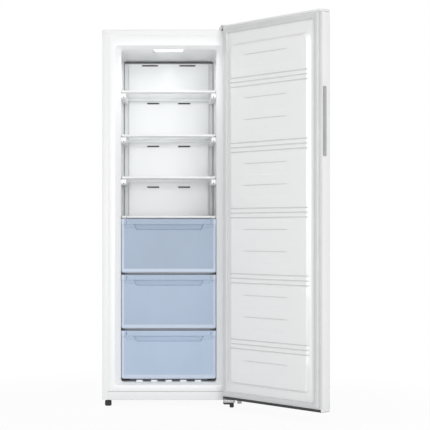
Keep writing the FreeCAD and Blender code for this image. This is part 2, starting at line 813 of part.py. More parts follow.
tray_outer = block("pump_across - tray_half", "pump_across + tray_half", "pump_deep - tray_half",
                   "pump_deep + tray_half - 5", "tray_low", "tray_top")
tray_inner = block("pump_across - tray_half + tray_wall", "pump_across + tray_half - tray_wall",
                   "pump_deep - tray_half + tray_wall", "pump_deep + tray_half - 5 - tray_wall",
                   "tray_low + tray_wall", "tray_top + 1")
node("drip_tray", cut(tray_outer, tray_inner))

# Condenser: winding tube standing across the bay, held by two feet.
warm_rows = 6
warm_path = []
for row in range(warm_rows):
    level = f"(warm_low + {row} * warm_pitch)"
    ends = ["warm_right", "warm_left"] if row % 2 == 0 else ["warm_left", "warm_right"]
    warm_path += [(ends[0], "warm_deep", level), (ends[1], "warm_deep", level)]
warm_tube = pipe(warm_path, "warm_tube", "warm_pitch / 2")
warm_feet = []
for across in ("warm_left + 50", "warm_right - 50"):
    warm_feet.append(block(across, f"{across} + 12", "warm_deep - 1.5", "warm_deep + 1.5", "base_top",
                           f"warm_low + {warm_rows - 1} * warm_pitch"))
node("condenser_coil", fuse(warm_tube, *warm_feet))

# Refrigerant pipes: hot line to the condenser, liquid line with its filter up to the evaporator,
# and the suction line back down to the compressor.
hot_line = pipe([("outlet", "pump_deep", "outlet_up"), ("beside", "pump_deep", "outlet_up"),
                 ("beside", "warm_deep", "outlet_up"), ("beside", "warm_deep", "warm_low"),
                 ("warm_right", "warm_deep", "warm_low")], "pipe_tube", "pipe_bend")
liquid_line = pipe([("warm_right", "warm_deep", "warm_high"), ("beside", "warm_deep", "warm_high"),
                    ("beside", "warm_deep", "upper_run"), ("-riser", "warm_deep", "upper_run"),
                    ("-riser", "pipe_deep", "upper_run"),
                    ("-riser", "pipe_deep", "coil_high - coil_pitch / 2")], "pipe_tube", "pipe_bend")
filter_body = rod("x", "pipe_tube + 6", "-100", "-20", "warm_deep", "upper_run")
suction_line = pipe([("riser", "pipe_deep", "coil_low - coil_pitch / 2"),
                     ("riser", "pipe_deep", "upper_run - 10"), ("aside", "pipe_deep", "upper_run - 10"),
                     ("aside", "pipe_deep", "inlet_up"), ("aside", "pump_deep", "inlet_up"),
                     ("inlet", "pump_deep", "inlet_up")], "pipe_tube", "pipe_bend")
node("refrigerant_pipes", together([hot_line, fuse(liquid_line, filter_body), suction_line]))

# Machine bay cover with louvres, and the gland of the power inlet in its lower left corner.
louvres = []
for index in range(8):
    level = f"(base_top + 40 + {index} * louvre_pitch)"
    louvres.append(block("-louvre_half", "louvre_half", "case_depth - 10", "case_depth + 1", level,
                         f"{level} + 7"))
inlet_hole = rod("y", "gland + screw_gap", "case_depth - 10", "case_depth + 1", "-gland_across", "gland_up")
bay_cover = block("-back_fold_half + 1", "back_fold_half - 1", "sheet_back", "case_depth", "base_low",
                  "machine_top + 20")
node("machine_cover", cut(bay_cover, together(louvres), inlet_hole))
gland_body = rod("y", "gland", "case_depth - 18", "case_depth", "-gland_across", "gland_up")
gland_flange = rod("y", "gland + 4.4", "case_depth", "case_depth + 3", "-gland_across", "gland_up")
node("power_inlet", fuse(gland_body, gland_flange))

# Shelves: a clear glass plate held in a moulded frame with a thin nose.
for name, top in zip(("1", "2", "3", "4"), shelf_tops):
    rim = block("-frame_half", "frame_half", "shelf_front", "shelf_back", f"{top} - frame_height", top)
    window = block("-(frame_half - frame_border)", "frame_half - frame_border", "shelf_front + frame_border",
                   "shelf_back - frame_border", f"{top} - frame_height - 1", f"{top} + 1")
    pane = ["-(frame_half - frame_lip)", "frame_half - frame_lip", "shelf_front + frame_lip",
            "shelf_back - frame_lip", f"{top} - glass - glass_sink", f"{top} - glass_sink"]
    under_nose = block("-frame_half - 1", "frame_half + 1", "shelf_front - 1", "shelf_front + frame_border - 2",
                       f"{top} - frame_height - 1", f"{top} - frame_nose")
    node("shelf_frame_" + name, cut(rim, fuse(window, block(*pane)), under_nose))
    node("shelf_glass_" + name, block(*pane))

# Glass plates between the drawers.
for name, top in (("1", "plate_one"), ("2", "plate_two")):
    node("drawer_shelf_" + name, block("-plate_half", "plate_half", "plate_front", "shelf_back",
                                       f"{top} - plate", top))


# Drawers: box, wider front with a rim, lip across the top and a grip hollow under the lip.
def drawer(name, low, high, box_low, back):
    face = block("-drawer_half", "drawer_half", "drawer_face", "drawer_face + drawer_rim", low, high)
    lip = block("-lip_half", "lip_half", "drawer_face - lip_proud", "drawer_face + drawer_rim",
                f"{high} - lip_height", high)
    box = block("-drawer_box", "drawer_box", "drawer_face + drawer_rim - 1", back, box_low,
                f"{high} - drawer_drop")
    inside = block("-(drawer_box - drawer_wall)", "drawer_box - drawer_wall", "drawer_face + drawer_rim",
                   f"{back} - drawer_wall", f"{box_low} + drawer_wall", f"{high} + 1")
    relief = block("-(drawer_half - drawer_wall)", "drawer_half - drawer_wall", "drawer_face + drawer_wall",
                   "drawer_face + drawer_rim + 0.01", f"{low} + drawer_wall", f"{high} - grip_low - drawer_wall")
    grip_outline = [("-grip_half", f"{high} - grip_low"), ("grip_half", f"{high} - grip_low"),
                    ("grip_half + grip_slant", f"{high} - lip_height"),
                    ("-grip_half - grip_slant", f"{high} - lip_height")]
    grip = prism("XZ_Plane", grip_outline, "drawer_face - 1", "drawer_face + grip_deep")
    hook = block("-grip_half", "grip_half", "drawer_face + 2", "drawer_face + grip_deep",
                 f"{high} - lip_height - 1", f"{high} - lip_height + 12")
    slope = block("-drawer_half", "drawer_half", "drawer_face - 1", "drawer_face + 3",
                  f"{high} - lip_height - 14", f"{high} - lip_height")
    node(name, cut(fuse(face, lip, box), inside, relief, grip, hook, slope))


drawer("drawer_1", "drawer_one_low", "drawer_one_top", "plate_one + slide_gap", "drawer_back")
drawer("drawer_2", "drawer_two_low", "drawer_two_top", "plate_two + slide_gap", "drawer_back")
drawer("drawer_3", "drawer_three_low", "drawer_three_top", "bay_low + rib_height + slide_gap", "drawer_short")

# Upper hinge bracket: foot on the case, riser, arm over the door with the pin hanging from it.
top_bracket_outline = [("bracket_back", "case_top"), ("bracket_back", "top_foot_high"),
                       ("riser_front", "top_foot_high"), ("riser_front", "top_leg_high"),
                       ("bracket_front", "top_leg_high"), ("bracket_front", "top_leg_low"),
                       ("riser_front - bracket", "top_leg_low"),
                       ("riser_front - bracket", "case_top")]
top_bracket = prism("YZ_Plane", top_bracket_outline, "hinge_left", "bracket_right")
top_pin = rod("z", "pin_radius", "door_top - bush_length + pin_grip", "top_leg_low + 1", "pin_across", "pin_deep")
node("top_hinge_bracket", fuse(cut(top_bracket, top_holes), top_pin))

# Cover over the bracket's foot on the case.
cover_outer = block("hinge_left - 6", "sheet_half", "5", "bracket_back + 8", "case_top", "top_leg_high")
cover_inner = block("hinge_left - 4", "sheet_half - 1", "4", "bracket_back + 6", "case_top - 1",
                    "top_leg_high - 2")
node("top_hinge_cover", cut(cover_outer, cover_inner))

# Lower hinge bracket: plate under the case with a front lip, and a hollow pin standing on it.
low_plate = block("bracket_left", "bracket_right", "bracket_front", "bracket_back", "low_leg_low", "case_foot")
low_lip = block("bracket_left", "bracket_right", "bracket_front", "bracket_front + bracket",
                "case_foot - low_lip_down", "case_foot + low_lip_up")
low_pin = rod("z", "pin_radius", "low_leg_low", "door_low + bush_length - pin_grip", "pin_across", "pin_deep")
low_washer = rod("z", "pin_radius + 3", "case_foot", "door_low - 0.5", "pin_across", "pin_deep")
stem_bore = rod("z", "small_stem + run_gap", "low_leg_low - 1", "case_foot + 25", "pin_across", "pin_deep")
node("bottom_hinge_bracket", cut(fuse(low_plate, low_lip, low_pin, low_washer), stem_bore, low_holes))
guard_outline = [("guard_left", "low_leg_low"), ("guard_left", "guard_low"),
                 ("guard_left + guard_reach", "guard_low"), ("guard_left + guard_reach", "guard_low + 8"),
                 ("guard_left + 4", "guard_low + 8"), ("guard_left + 4", "low_leg_low")]
node("foot_guard", prism("XZ_Plane", guard_outline, "bracket_front + 27", "bracket_front + 31"))

# Front feet: a broad one under the left corner, a small one under the lower hinge pin.
foot_outline = [("0", "0"), ("foot_radius - 3", "0"), ("foot_radius", "4"), ("foot_radius", "foot_height"),
                ("foot_stem", "foot_height"), ("foot_stem", "case_foot + stem_long"),
                ("0", "case_foot + stem_long")]
node("foot_left", turned(foot_outline, "-foot_across", "foot_deep"))
foot_outline = [("0", "0"), ("small_foot - 3", "0"), ("small_foot", "3"), ("small_foot", "foot_height - 3"),
                ("small_stem", "foot_height - 3"), ("small_stem", "case_foot + 20"), ("0", "case_foot + 20")]
node("foot_right", turned(foot_outline, "pin_across", "pin_deep"))

# Rear rollers on axles riveted through their brackets.
holders = []
for name, sign in (("roller_left", -1), ("roller_right", 1)):
    middle = f"({sign} * roller_across)"
    wheel = rod("x", "roller_radius", f"{middle} - roller_half", f"{middle} + roller_half",
                "roller_deep", "roller_radius")
    bore = rod("x", "axle + run_gap", f"{middle} - roller_half - 1", f"{middle} + roller_half + 1",
               "roller_deep", "roller_radius")
    node(name, cut(wheel, bore))
    inner = "(roller_half + 0.5)"
    crown = block(f"{middle} - {inner} - cheek", f"{middle} + {inner} + cheek", "roller_deep - 18",
                  "roller_deep + 18", "base_low - cheek", "base_low")
    left = block(f"{middle} - {inner} - cheek", f"{middle} - {inner}", "roller_deep - 10", "roller_deep + 10",
                 "5", "base_low - cheek")
    right = block(f"{middle} + {inner}", f"{middle} + {inner} + cheek", "roller_deep - 10", "roller_deep + 10",
                  "5", "base_low - cheek")
    pin = rod("x", "axle", f"{middle} - {inner} - cheek - 1", f"{middle} + {inner} + cheek + 1",
              "roller_deep", "roller_radius")
    holders.append(fuse(crown, left, right, pin))
node("roller_brackets", together(holders))

# Door liner: edge sheet with a raised field, crossed by groups of three grooves.


def raised(spare, front):
    grown = f"({spare})"
    base = [f"-(raise_half - {grown})", f"raise_half - {grown}", f"raise_low + {grown}", f"raise_high - {grown}"]
    crest = [f"-(raise_half - raise_slope - {grown})", f"raise_half - raise_slope - {grown}",
             f"raise_low + raise_slope + {grown}", f"raise_high - raise_slope - {grown}"]
    field = frustum(base, crest, front, f"raise_top - {grown}")
    return rounded(field, f"raise_corner - {grown}", slanted)


def slanted(edge):
    step = edge.Vertexes[-1].Point - edge.Vertexes[0].Point
    return min(abs(value) for value in step) > 1


field_outer = raised("0", "door_inside")
field_inner = raised("skin", "door_inside")
bands = []
grooves = []
for group in range(5):
    for step in (-1, 0, 1):
        middle = f"(group_low + {group} * group_pitch + {step} * groove_pitch)"
        bands.append(block("-raise_half", "raise_half", "raise_top - groove_depth - skin", "raise_top + 1",
                           f"{middle} - groove_height / 2 - skin", f"{middle} + groove_height / 2 + skin"))
        grooves.append(block("-raise_half", "raise_half", "raise_top - groove_depth", "raise_top + 2",
                             f"{middle} - groove_height / 2", f"{middle} + groove_height / 2"))
bands = together(bands)
edge_sheet = block("-liner_edge", "liner_edge", "door_inside - skin", "door_inside", "liner_low", "liner_high")
opening = frustum(["-(raise_half - skin)", "raise_half - skin", "raise_low + skin", "raise_high - skin"],
                  ["-(raise_half - skin)", "raise_half - skin", "raise_low + skin", "raise_high - skin"],
                  "(door_inside - skin) - 1", "door_inside")
opening = rounded(opening, "raise_corner - skin", runs_along("y"))
liner_skin = fuse(cut(edge_sheet, opening), cut(field_outer, field_inner), common(bands, field_outer))
door_node("door_liner", cut(liner_skin, together(grooves)))

# Door skin: a pan of sheet steel with a flange that holds the liner's edge.
shell = block("-case_half", "case_half", "door_front", "door_inside", "skin_low", "skin_top")
hollow = block("-sheet_half", "sheet_half", "door_front + steel", "door_inside - steel",
               "skin_low + steel", "skin_top - steel")
back_hole = block("-liner_edge", "liner_edge", "door_inside - steel - 1", "door_inside + 1",
                  "liner_low", "liner_high")
low_bush = rod("z", "bush_radius", "door_low - 1", "door_low + bush_length", "pin_across", "pin_deep")
top_bush = rod("z", "bush_radius", "door_top - bush_length", "door_top + 1", "pin_across", "pin_deep")
bush_holes = together([low_bush, top_bush])
grip_outer = block("-case_half", "-case_half + recess_deep + skin", "recess_front - skin", "recess_back + skin",
                   "recess_low - skin", "recess_high + skin")
grip_inner = block("-case_half - 1", "-case_half + recess_deep", "recess_front", "recess_back",
                   "recess_low", "recess_high")
door_node("door_skin", cut(shell, fuse(hollow, back_hole), bush_holes, grip_outer))

# Foam of the door: fills the pan and the raised field behind the liner.
door_fill = block("-sheet_half", "sheet_half", "door_front + steel", "door_inside - skin", "skin_low + steel",
                  "skin_top - steel")
core = cut(fuse(door_fill, opening, field_inner), common(bands, field_outer))
door_node("door_foam", cut(core, bush_holes, grip_outer))

# Grip recess in the free edge, end trims, hinge bushes and gasket.
door_node("door_handle", cut(grip_outer, grip_inner))
low_trim = block("-case_half", "case_half", "door_front", "door_inside", "door_low", "skin_low")
door_node("door_bottom_cap", cut(low_trim, bush_holes))
top_trim = block("-case_half", "case_half", "door_front", "door_inside", "skin_top", "door_top")
door_node("door_top_cap", cut(top_trim, bush_holes))
bushes = []
for low, high in (("door_low", "door_low + bush_length"), ("door_top - bush_length", "door_top")):
    bush = rod("z", "bush_radius", low, high, "pin_across", "pin_deep")
    bore = rod("z", "pin_radius + run_gap", f"{low} - 1", f"{high} + 1", "pin_across", "pin_deep")
    bushes.append(cut(bush, bore))
door_node("hinge_bushes", together(bushes))
seal = block("-liner_edge", "liner_edge", "door_inside", "-gasket_gap", "liner_low", "liner_high")
seal_hole = block("-(liner_edge - gasket_width)", "liner_edge - gasket_width", "door_inside - 1", "1",
                  "liner_low + gasket_width", "liner_high - gasket_width")
door_node("door_gasket", cut(seal, seal_hole))

# Control panel on the outside of the door, near its top.
door_node("control_panel", block("-panel_half", "panel_half", "door_front - panel_proud", "door_front",
                                 "liner_high - panel_drop - panel_height", "liner_high - panel_drop"))

# Door stop under the hinge corner: an arm with a tab that meets the bracket when the door is open.
stop_tab = block("pin_across - stop_reach", "pin_across - stop_inner", "pin_deep - stop_half",
                 "pin_deep + stop_half", "case_foot - 5", "door_low")
stop_arm = block("pin_across - stop_reach", "pin_across - stop_clear", "pin_deep - stop_half",
                 "pin_deep + stop_half", "case_foot + 8", "door_low")
door_node("door_stop", fuse(stop_tab, stop_arm))

doc.recompute()
for item in doc.Objects:
    if "Invalid" in item.State or "Error" in item.State:
        raise ValueError(item.Label + " did not build")
for item in nodes:
    if item.Shape.isNull() or not item.Shape.isValid():
        raise ValueError(item.Label + " has no valid shape")
    item.Shape.exportStep("parts/" + item.Label + ".step")
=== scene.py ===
import bmesh
import bpy
import math
from mathutils import Matrix, Vector


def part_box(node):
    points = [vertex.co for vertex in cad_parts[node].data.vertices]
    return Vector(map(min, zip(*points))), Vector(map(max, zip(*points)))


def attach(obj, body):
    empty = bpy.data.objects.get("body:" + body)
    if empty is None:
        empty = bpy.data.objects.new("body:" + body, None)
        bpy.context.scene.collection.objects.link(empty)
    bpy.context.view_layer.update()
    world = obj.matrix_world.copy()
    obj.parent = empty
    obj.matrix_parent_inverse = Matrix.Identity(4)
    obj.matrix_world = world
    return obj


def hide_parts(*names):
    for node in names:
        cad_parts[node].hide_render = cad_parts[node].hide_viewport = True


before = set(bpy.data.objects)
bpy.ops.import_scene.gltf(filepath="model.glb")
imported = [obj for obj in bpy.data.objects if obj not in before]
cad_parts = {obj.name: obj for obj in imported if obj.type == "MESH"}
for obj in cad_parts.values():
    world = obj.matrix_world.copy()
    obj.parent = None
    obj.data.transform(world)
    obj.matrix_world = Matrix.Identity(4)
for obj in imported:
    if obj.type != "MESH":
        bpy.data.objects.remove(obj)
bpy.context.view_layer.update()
scene = bpy.context.scene

# ---- Camera ---------------------------------------------------------------------------------
# It stands level and square to the case, a little under half its height and almost six metres
# away. The shift leaves room at the right for the open door.
view_lens = bpy.data.cameras.new("camera")
view_lens.sensor_width = 36
view_lens.lens = 109.93
view_lens.shift_x = 0.1077
view_lens.shift_y = 0.0384
camera = bpy.data.objects.new("camera", view_lens)
camera.location = (0, -5.89, 0.7825)
camera.rotation_euler = (math.radians(90), 0, 0)
scene.collection.objects.link(camera)
scene.camera = camera

# ---- Studio ---------------------------------------------------------------------------------
# A plain white sweep: a pale floor that keeps a soft shadow round the feet, a white surround, and
# large soft lamps in front and behind. The last one is the freezer's own light under its ceiling.


class Signal:
    """One socket's value over a surface. Sums written with it become Math nodes."""

    def __init__(self, paint, socket):
        self.paint = paint
        self.socket = socket

    def combined(self, operation, first, second):
        return self.paint.node("ShaderNodeMath", {"operation": operation}, {0: first, 1: second})

    def __add__(self, other):
        return self.combined("ADD", self, other)

    def __sub__(self, other):
        return self.combined("SUBTRACT", self, other)

    def __rsub__(self, other):
        return self.combined("SUBTRACT", other, self)

    def __mul__(self, other):
        return self.combined("MULTIPLY", self, other)

    __radd__ = __add__
    __rmul__ = __mul__


class Paint:
    """The shader nodes of a material or of the surround."""

    def __init__(self, owner):
        owner.use_nodes = True
        self.tree = owner.node_tree
        self.tree.nodes.clear()

    def feed(self, node, values):
        """Gives a node's sockets their numbers, colours or signals."""
        for name, value in values.items():
            socket = node.inputs[name]
            if isinstance(value, Signal):
                self.tree.links.new(value.socket, socket)
            elif socket.type == "RGBA":
                socket.default_value = (*value, 1)
            else:
                socket.default_value = value

    def node(self, kind, settings, values, output=0):
        made = self.tree.nodes.new(kind)
        for name, value in settings.items():
            setattr(made, name, value)
        self.feed(made, values)
        return Signal(self, made.outputs[output])


class Finish(Paint):
    """A material: one Principled shader, and the nodes that feed it."""

    def __init__(self, name, values):
        self.material = bpy.data.materials.new(name)
        super().__init__(self.material)
        self.shader = self.tree.nodes.new("ShaderNodeBsdfPrincipled")
        self.end = self.tree.nodes.new("ShaderNodeOutputMaterial")
        self.tree.links.new(self.shader.outputs[0], self.end.inputs[0])
        self.place = self.node("ShaderNodeTexCoord", {}, {}, "Object")
        self.feed(self.shader, values)

    def noise(self, scale, detail, stretch=(1, 1, 1)):
        place = self.node("ShaderNodeMapping", {}, {"Vector": self.place, "Scale": stretch})
        return self.node("ShaderNodeTexNoise", {}, {"Vector": place, "Scale": scale, "Detail": detail})

    def span(self, value, low, high, first=0.0, last=1.0):
        values = {0: value, 1: low, 2: high, 3: first, 4: last}
        return self.node("ShaderNodeMapRange", {"interpolation_type": "SMOOTHSTEP"}, values)

    def blend(self, first, second, share):
        return self.node("ShaderNodeMix", {"data_type": "RGBA"}, {0: share, 6: first, 7: second}, 2)

    def along(self, axis):
        return self.node("ShaderNodeSeparateXYZ", {}, {0: self.place}, axis)

    def off_centre(self):
        """The distance from the middle of the case, to the left or to the right."""
        return self.node("ShaderNodeMath", {"operation": "ABSOLUTE"}, {0: self.along(0)})

    def surface(self, colour, roughness, height, distance, strength=1.0):
        """What changes from place to place: the colour, the gloss and a fine relief."""
        bump = self.node("ShaderNodeBump", {}, {"Height": height, "Distance": distance, "Strength": strength})
        self.feed(self.shader, {"Base Color": colour, "Roughness": roughness, "Normal": bump})


floor_mesh = bpy.data.meshes.new("floor")
floor_mesh.from_pydata([(-9, -9, 0), (9, -9, 0), (9, 9, 0), (-9, 9, 0)], [], [(0, 1, 2, 3)])
floor = bpy.data.objects.new("floor", floor_mesh)
scene.collection.objects.link(floor)
floor_paint = Finish("floor_paint", {"Base Color": (0.86, 0.86, 0.86), "Roughness": 0.85})
seen, mirrored = [
    floor_paint.node("ShaderNodeLightPath", {}, {}, ray) for ray in ("Is Camera Ray", "Is Glossy Ray")
]
distance = floor_paint.node("ShaderNodeVectorMath", {"operation": "LENGTH"}, {0: floor_paint.place}, 1)
white = floor_paint.node("ShaderNodeEmission", {}, {"Color": (1, 1, 1), "Strength": 1.0})
share = (seen + mirrored) * floor_paint.span(distance, 0.7, 1.8, 0.93, 1.0)
painted = Signal(floor_paint, floor_paint.shader.outputs[0])
swept = floor_paint.node("ShaderNodeMixShader", {}, {0: share, 1: painted, 2: white})
floor_paint.feed(floor_paint.end, {0: swept})
floor_mesh.materials.append(floor_paint.material)

scene.world = bpy.data.worlds.new("surround")
sky = Paint(scene.world)
seen, mirrored, passed = [
    sky.node("ShaderNodeLightPath", {}, {}, ray)
    for ray in ("Is Camera Ray", "Is Glossy Ray", "Is Transmission Ray")
]
level = sky.node("ShaderNodeMapRange", {}, {"Value": seen + mirrored + passed, "To Min": 0.47, "To Max": 1.0})
surround = sky.node("ShaderNodeBackground", {}, {"Color": (1, 1, 1), "Strength": level})
sky.feed(sky.tree.nodes.new("ShaderNodeOutputWorld"), {0: surround})

for name, where, aim, across, power in (
    ("key", (1.9, -5.9, 2.2), (0, 0, 0.9), 2.0, 78),
    ("low", (-0.1, -6.2, 0.7), (0, 0, 0.9), 2.0, 92),
    ("high", (0.2, -5.6, 3.6), (0, 0, 0.9), 2.0, 19),
    ("back", (-1.5, 4.5, 3.0), (0, 0.3, 0.9), 2.4, 75),
    ("diodes", (0, 0.06, 1.588), (0, 0.06, 0.9), 0.07, 0.58),
):
    lamp = bpy.data.lights.new(name, "AREA")
    lamp.shape = "SQUARE"
    lamp.size = across
    lamp.energy = power
    lamp_object = bpy.data.objects.new(name, lamp)
    lamp_object.location = where
    lamp_object.rotation_euler = (Vector(aim) - Vector(where)).to_track_quat("-Z", "Y").to_euler()
    scene.collection.objects.link(lamp_object)
scene.view_settings.view_transform = "Standard"

# ---- Case panels ----------------------------------------------------------------------------
# Two side panels, a top panel and a front rail of 0.8 mm sheet steel, folded in along the front
# and the back and powder-coated white. The front folds meet at mitred corners.


def rounded(corners, radius, steps=4, closed=True):
    """The outline with its corners rounded. A corner is (across, up) or (across, up, own radius)."""
    line = []
    for index, corner in enumerate(corners):
        here = Vector(corner[:2])
        bow = corner[2] if len(corner) > 2 else radius
        if bow <= 0 or (not closed and index in (0, len(corners) - 1)):
            line.append(tuple(here))
            continue
        before = Vector(corners[index - 1][:2]) - here
        after = Vector(corners[(index + 1) % len(corners)][:2]) - here
        half = before.angle(after) / 2
        reach = min(bow / math.tan(half), before.length * 0.49, after.length * 0.49)
        before.normalize()
        after.normalize()
        centre = here + (before + after).normalized() * reach / math.cos(half)
        first = here + before * reach - centre
        last = here + after * reach - centre
        sweep = math.pi - 2 * half
        for step in range(steps + 1):
            turn = sweep * step / steps
            point = (first * math.sin(sweep - turn) + last * math.sin(turn)) / math.sin(sweep)
            line.append(tuple(centre + point))
    return line


def bent(path, thick, radius):
    """Outline of a sheet folded along an open path, with the sheet on the path's left."""
    points = [Vector(point) for point in path]
    ways = [(after - before).normalized() for before, after in zip(points, points[1:])]
    sides = [Vector((-way.y, way.x)) for way in ways]
    outer = []
    inner = []
    for index, point in enumerate(points):
        first = sides[max(index - 1, 0)]
        last = sides[min(index, len(sides) - 1)]
        shift = (first + last) * thick / (1 + first.dot(last))
        change = -thick if first.cross(last) > 0 else thick
        outer.append((point.x, point.y, radius + max(-change, 0)))
        inner.append((point.x + shift.x, point.y + shift.y, radius + max(change, 0)))
    return rounded(outer, radius, closed=False) + rounded(inner[::-1], radius, closed=False)


def level_with(axis, outline, level):
    if axis == "x":
        return [(level, first, second) for first, second in outline]
    if axis == "y":
        return [(first, level, second) for first, second in outline]
    return [(first, second, level) for first, second in outline]


def spaced(first, last, count):
    return [first + (last - first) * step / count for step in range(count + 1)]


def upright(across, up, deep):
    return across, deep, up


def as_given(across, up, deep):
    return deep


class Shape:
    """Points, in millimetres, and faces of one piece."""

    def __init__(self):
        self.points = []
        self.faces = []

    def loft(self, loops, caps=True):
        """A skin over closed loops of equal length, with its ends closed."""
        start = len(self.points)
        size = len(loops[0])
        for loop in loops:
            self.points += [tuple(point) for point in loop]
        for row in range(len(loops) - 1):
            for index in range(size):
                first = start + row * size + index
                second = start + row * size + (index + 1) % size
                self.faces.append((first, second, second + size, first + size))
        if caps:
            last = start + (len(loops) - 1) * size
            self.faces.append(tuple(reversed(range(start, start + size))))
            self.faces.append(tuple(range(last, last + size)))
        return self

    def prism(self, axis, outline, low, high):
        return self.loft([level_with(axis, outline, low), level_with(axis, outline, high)])

    def block(self, left, right, front, back, low, high, axis="y", radius=0.0, steps=4):
        """A bar along the axis, whose four long edges are rounded."""
        spans = {"x": (left, right), "y": (front, back), "z": (low, high)}
        ends = spans.pop(axis)
        (west, east), (south, north) = spans.values()
        outline = rounded([(west, south), (east, south), (east, north), (west, north)], radius, steps)
        return self.prism(axis, outline, *ends)

    def turned(self, axis, profile, first, second, steps=40):
        """A profile of (radius, level) turned round the axis through (first, second)."""
        turns = [math.tau * step / steps for step in range(steps)]
        loops = []
        for radius, level in profile:
            ring = [(first + radius * math.cos(turn), second + radius * math.sin(turn)) for turn in turns]
            loops.append(level_with(axis, ring, level))
        return self.loft(loops)

    def ring(self, side, xs, zs, steps, placed, height):
        """One closed loop of a moulding: straight runs at the stations, and round corners."""
        left, right, low, high, radius, deep = side
        west, east, south, north = left + radius, right - radius, low + radius, high - radius
        across = [west + (x - xs[0]) / (xs[-1] - xs[0]) * (east - west) for x in xs]
        up = [south + (z - zs[0]) / (zs[-1] - zs[0]) * (north - south) for z in zs]
        loop = [(x, low) for x in across]
        for middle, run, start in (
            ((east, south), [(right, z) for z in up], -90),
            ((east, north), [(x, high) for x in reversed(across)], 0),
            ((west, north), [(left, z) for z in reversed(up)], 90),
            ((west, south), [], 180),
        ):
            for step in range(1, steps):
                turn = math.radians(start + 90 * step / steps)
                loop.append((middle[0] + radius * math.cos(turn), middle[1] + radius * math.sin(turn)))
            loop += run
        return [placed(x, z, height(x, z, deep)) for x, z in loop]

    def moulded(self, sides, xs, zs, height=as_given, steps=6, placed=upright, field=True):
        """A sheet formed over loops (left, right, low, high, corner radius, depth), the last with
        square corners at the outer stations, and a field over the stations within it."""
        self.loft([self.ring(side, xs, zs, steps, placed, height) for side in sides], caps=False)
        if field:
            start = len(self.points)
            deep = sides[-1][5]
            self.points += [placed(x, z, height(x, z, deep)) for z in zs for x in xs]
            for row in range(len(zs) - 1):
                for index in range(len(xs) - 1):
                    first = start + row * len(xs) + index
                    self.faces.append((first, first + 1, first + 1 + len(xs), first + len(xs)))
        return self

    def hoop(self, sides, steps=6, placed=upright, height=as_given, zs=(0, 1)):
        """A closed frame whose section runs through the loops and back to the first."""
        return self.moulded([*sides, sides[0]], (0, 1), zs, height, steps, placed, False)


def settled(item):
    """The object with its modifiers worked into its mesh."""
    graph = bpy.context.evaluated_depsgraph_get()
    mesh = bpy.data.meshes.new_from_object(item.evaluated_get(graph))
    item.modifiers.clear()
    item.data = mesh
    return item


def solid(name, shape, edge=0.0, segments=2, wall=0.0, turn=None, cutter=None):
    """The object of a shape: doubles merged, a wall given, holes cut and its edges softened."""
    mesh = bpy.data.meshes.new(name)
    mesh.from_pydata([Vector(point) * 0.001 for point in shape.points], [], shape.faces)
    work = bmesh.new()
    work.from_mesh(mesh)
    bmesh.ops.remove_doubles(work, verts=work.verts, dist=0.000005)
    bmesh.ops.dissolve_degenerate(work, edges=work.edges, dist=0.000002)
    if not wall:
        bmesh.ops.recalc_face_normals(work, faces=work.faces)
    work.to_mesh(mesh)
    work.free()
    item = bpy.data.objects.new(name, mesh)
    scene.collection.objects.link(item)
    if wall:
        thick = item.modifiers.new("wall", "SOLIDIFY")
        thick.thickness = wall * 0.001
        thick.offset = -1
    if cutter:
        tool = solid(name + "_cut", cutter)
        hole = item.modifiers.new("holes", "BOOLEAN")
        hole.operation = "DIFFERENCE"
        hole.solver = "EXACT"
        hole.object = tool
    if edge:
        soft = item.modifiers.new("edges", "BEVEL")
        soft.width = edge * 0.001
        soft.segments = segments
        soft.limit_method = "ANGLE"
        soft.angle_limit = math.radians(35)
    settled(item)
    if cutter:
        bpy.data.objects.remove(tool)
    if turn:
        item.data.transform(turn)
    return item


def fitted(item, finish, body, slot, *nodes, smooth=32):
    """Shades a finished piece, paints it, and fixes it to its body in place of its CAD nodes."""
    item.data.shade_smooth()
    item.data.set_sharp_from_angle(angle=math.radians(smooth))
    item.data.materials.clear()
    item.data.materials.append(finish.material)
    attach(item, body)
    if nodes:
        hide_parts(*nodes)
    return item


def sides_of(node):
    """Left, right, front, back, low and high of a CAD node, in millimetres."""
    low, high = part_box(node)
    return [round(value * 1000, 3) for pair in zip(low, high) for value in pair]


powder = Finish("white_powder_coat", {"IOR": 1.5, "Coat Weight": 0.12, "Coat Roughness": 0.2})
scuffed = powder.span(powder.along(2), 0.09, 0.02) * powder.noise(60, 4)
coat = powder.blend((0.860, 0.864, 0.868), (0.884, 0.886, 0.887), powder.noise(5, 3))
worn_coat = powder.blend(coat, (0.72, 0.71, 0.70), scuffed * 0.25)
powder.surface(worn_coat, powder.noise(240, 2) * 0.10 + 0.31, powder.noise(620, 1.5), 0.00012, 0.55)

steel = 0.8
bend = 1.6
fold = 25
rear_fold = 15
seam = 0.35
case_left, *_, case_back, case_foot, case_top = sides_of("side_panel_left")
case_right = -case_left


def mitred(point):
    across, deep, up = point
    if deep < 2.5 and up > case_top - 1:
        up -= max(0, case_right - abs(across)) + seam
    return across, deep, up


path = [(case_right - fold, 0), (case_right, 0), (case_right, case_back), (case_right - rear_fold, case_back)]
outline = bent(path, steel, bend)
for name, side in (("side_panel_left", -1), ("side_panel_right", 1)):
    panel = Shape().prism("z", [(side * across, deep) for across, deep in outline], case_foot, case_top)
    panel.points = [mitred(point) for point in panel.points]
    fitted(solid(name + "_sheet", panel), powder, "cabinet", "case_paint", name)

path = [(case_back, case_top - rear_fold), (case_back, case_top), (0, case_top), (0, case_top - fold)]
top = Shape().prism("x", bent(path, steel, bend), -1, 1)
top.points = [
    (side * (case_right - (max(steel, case_top - up) + seam if deep < 2.5 else steel)), deep, up)
    for side, deep, up in top.points
]
fitted(solid("top_sheet", top), powder, "cabinet", "case_paint", "top_panel")

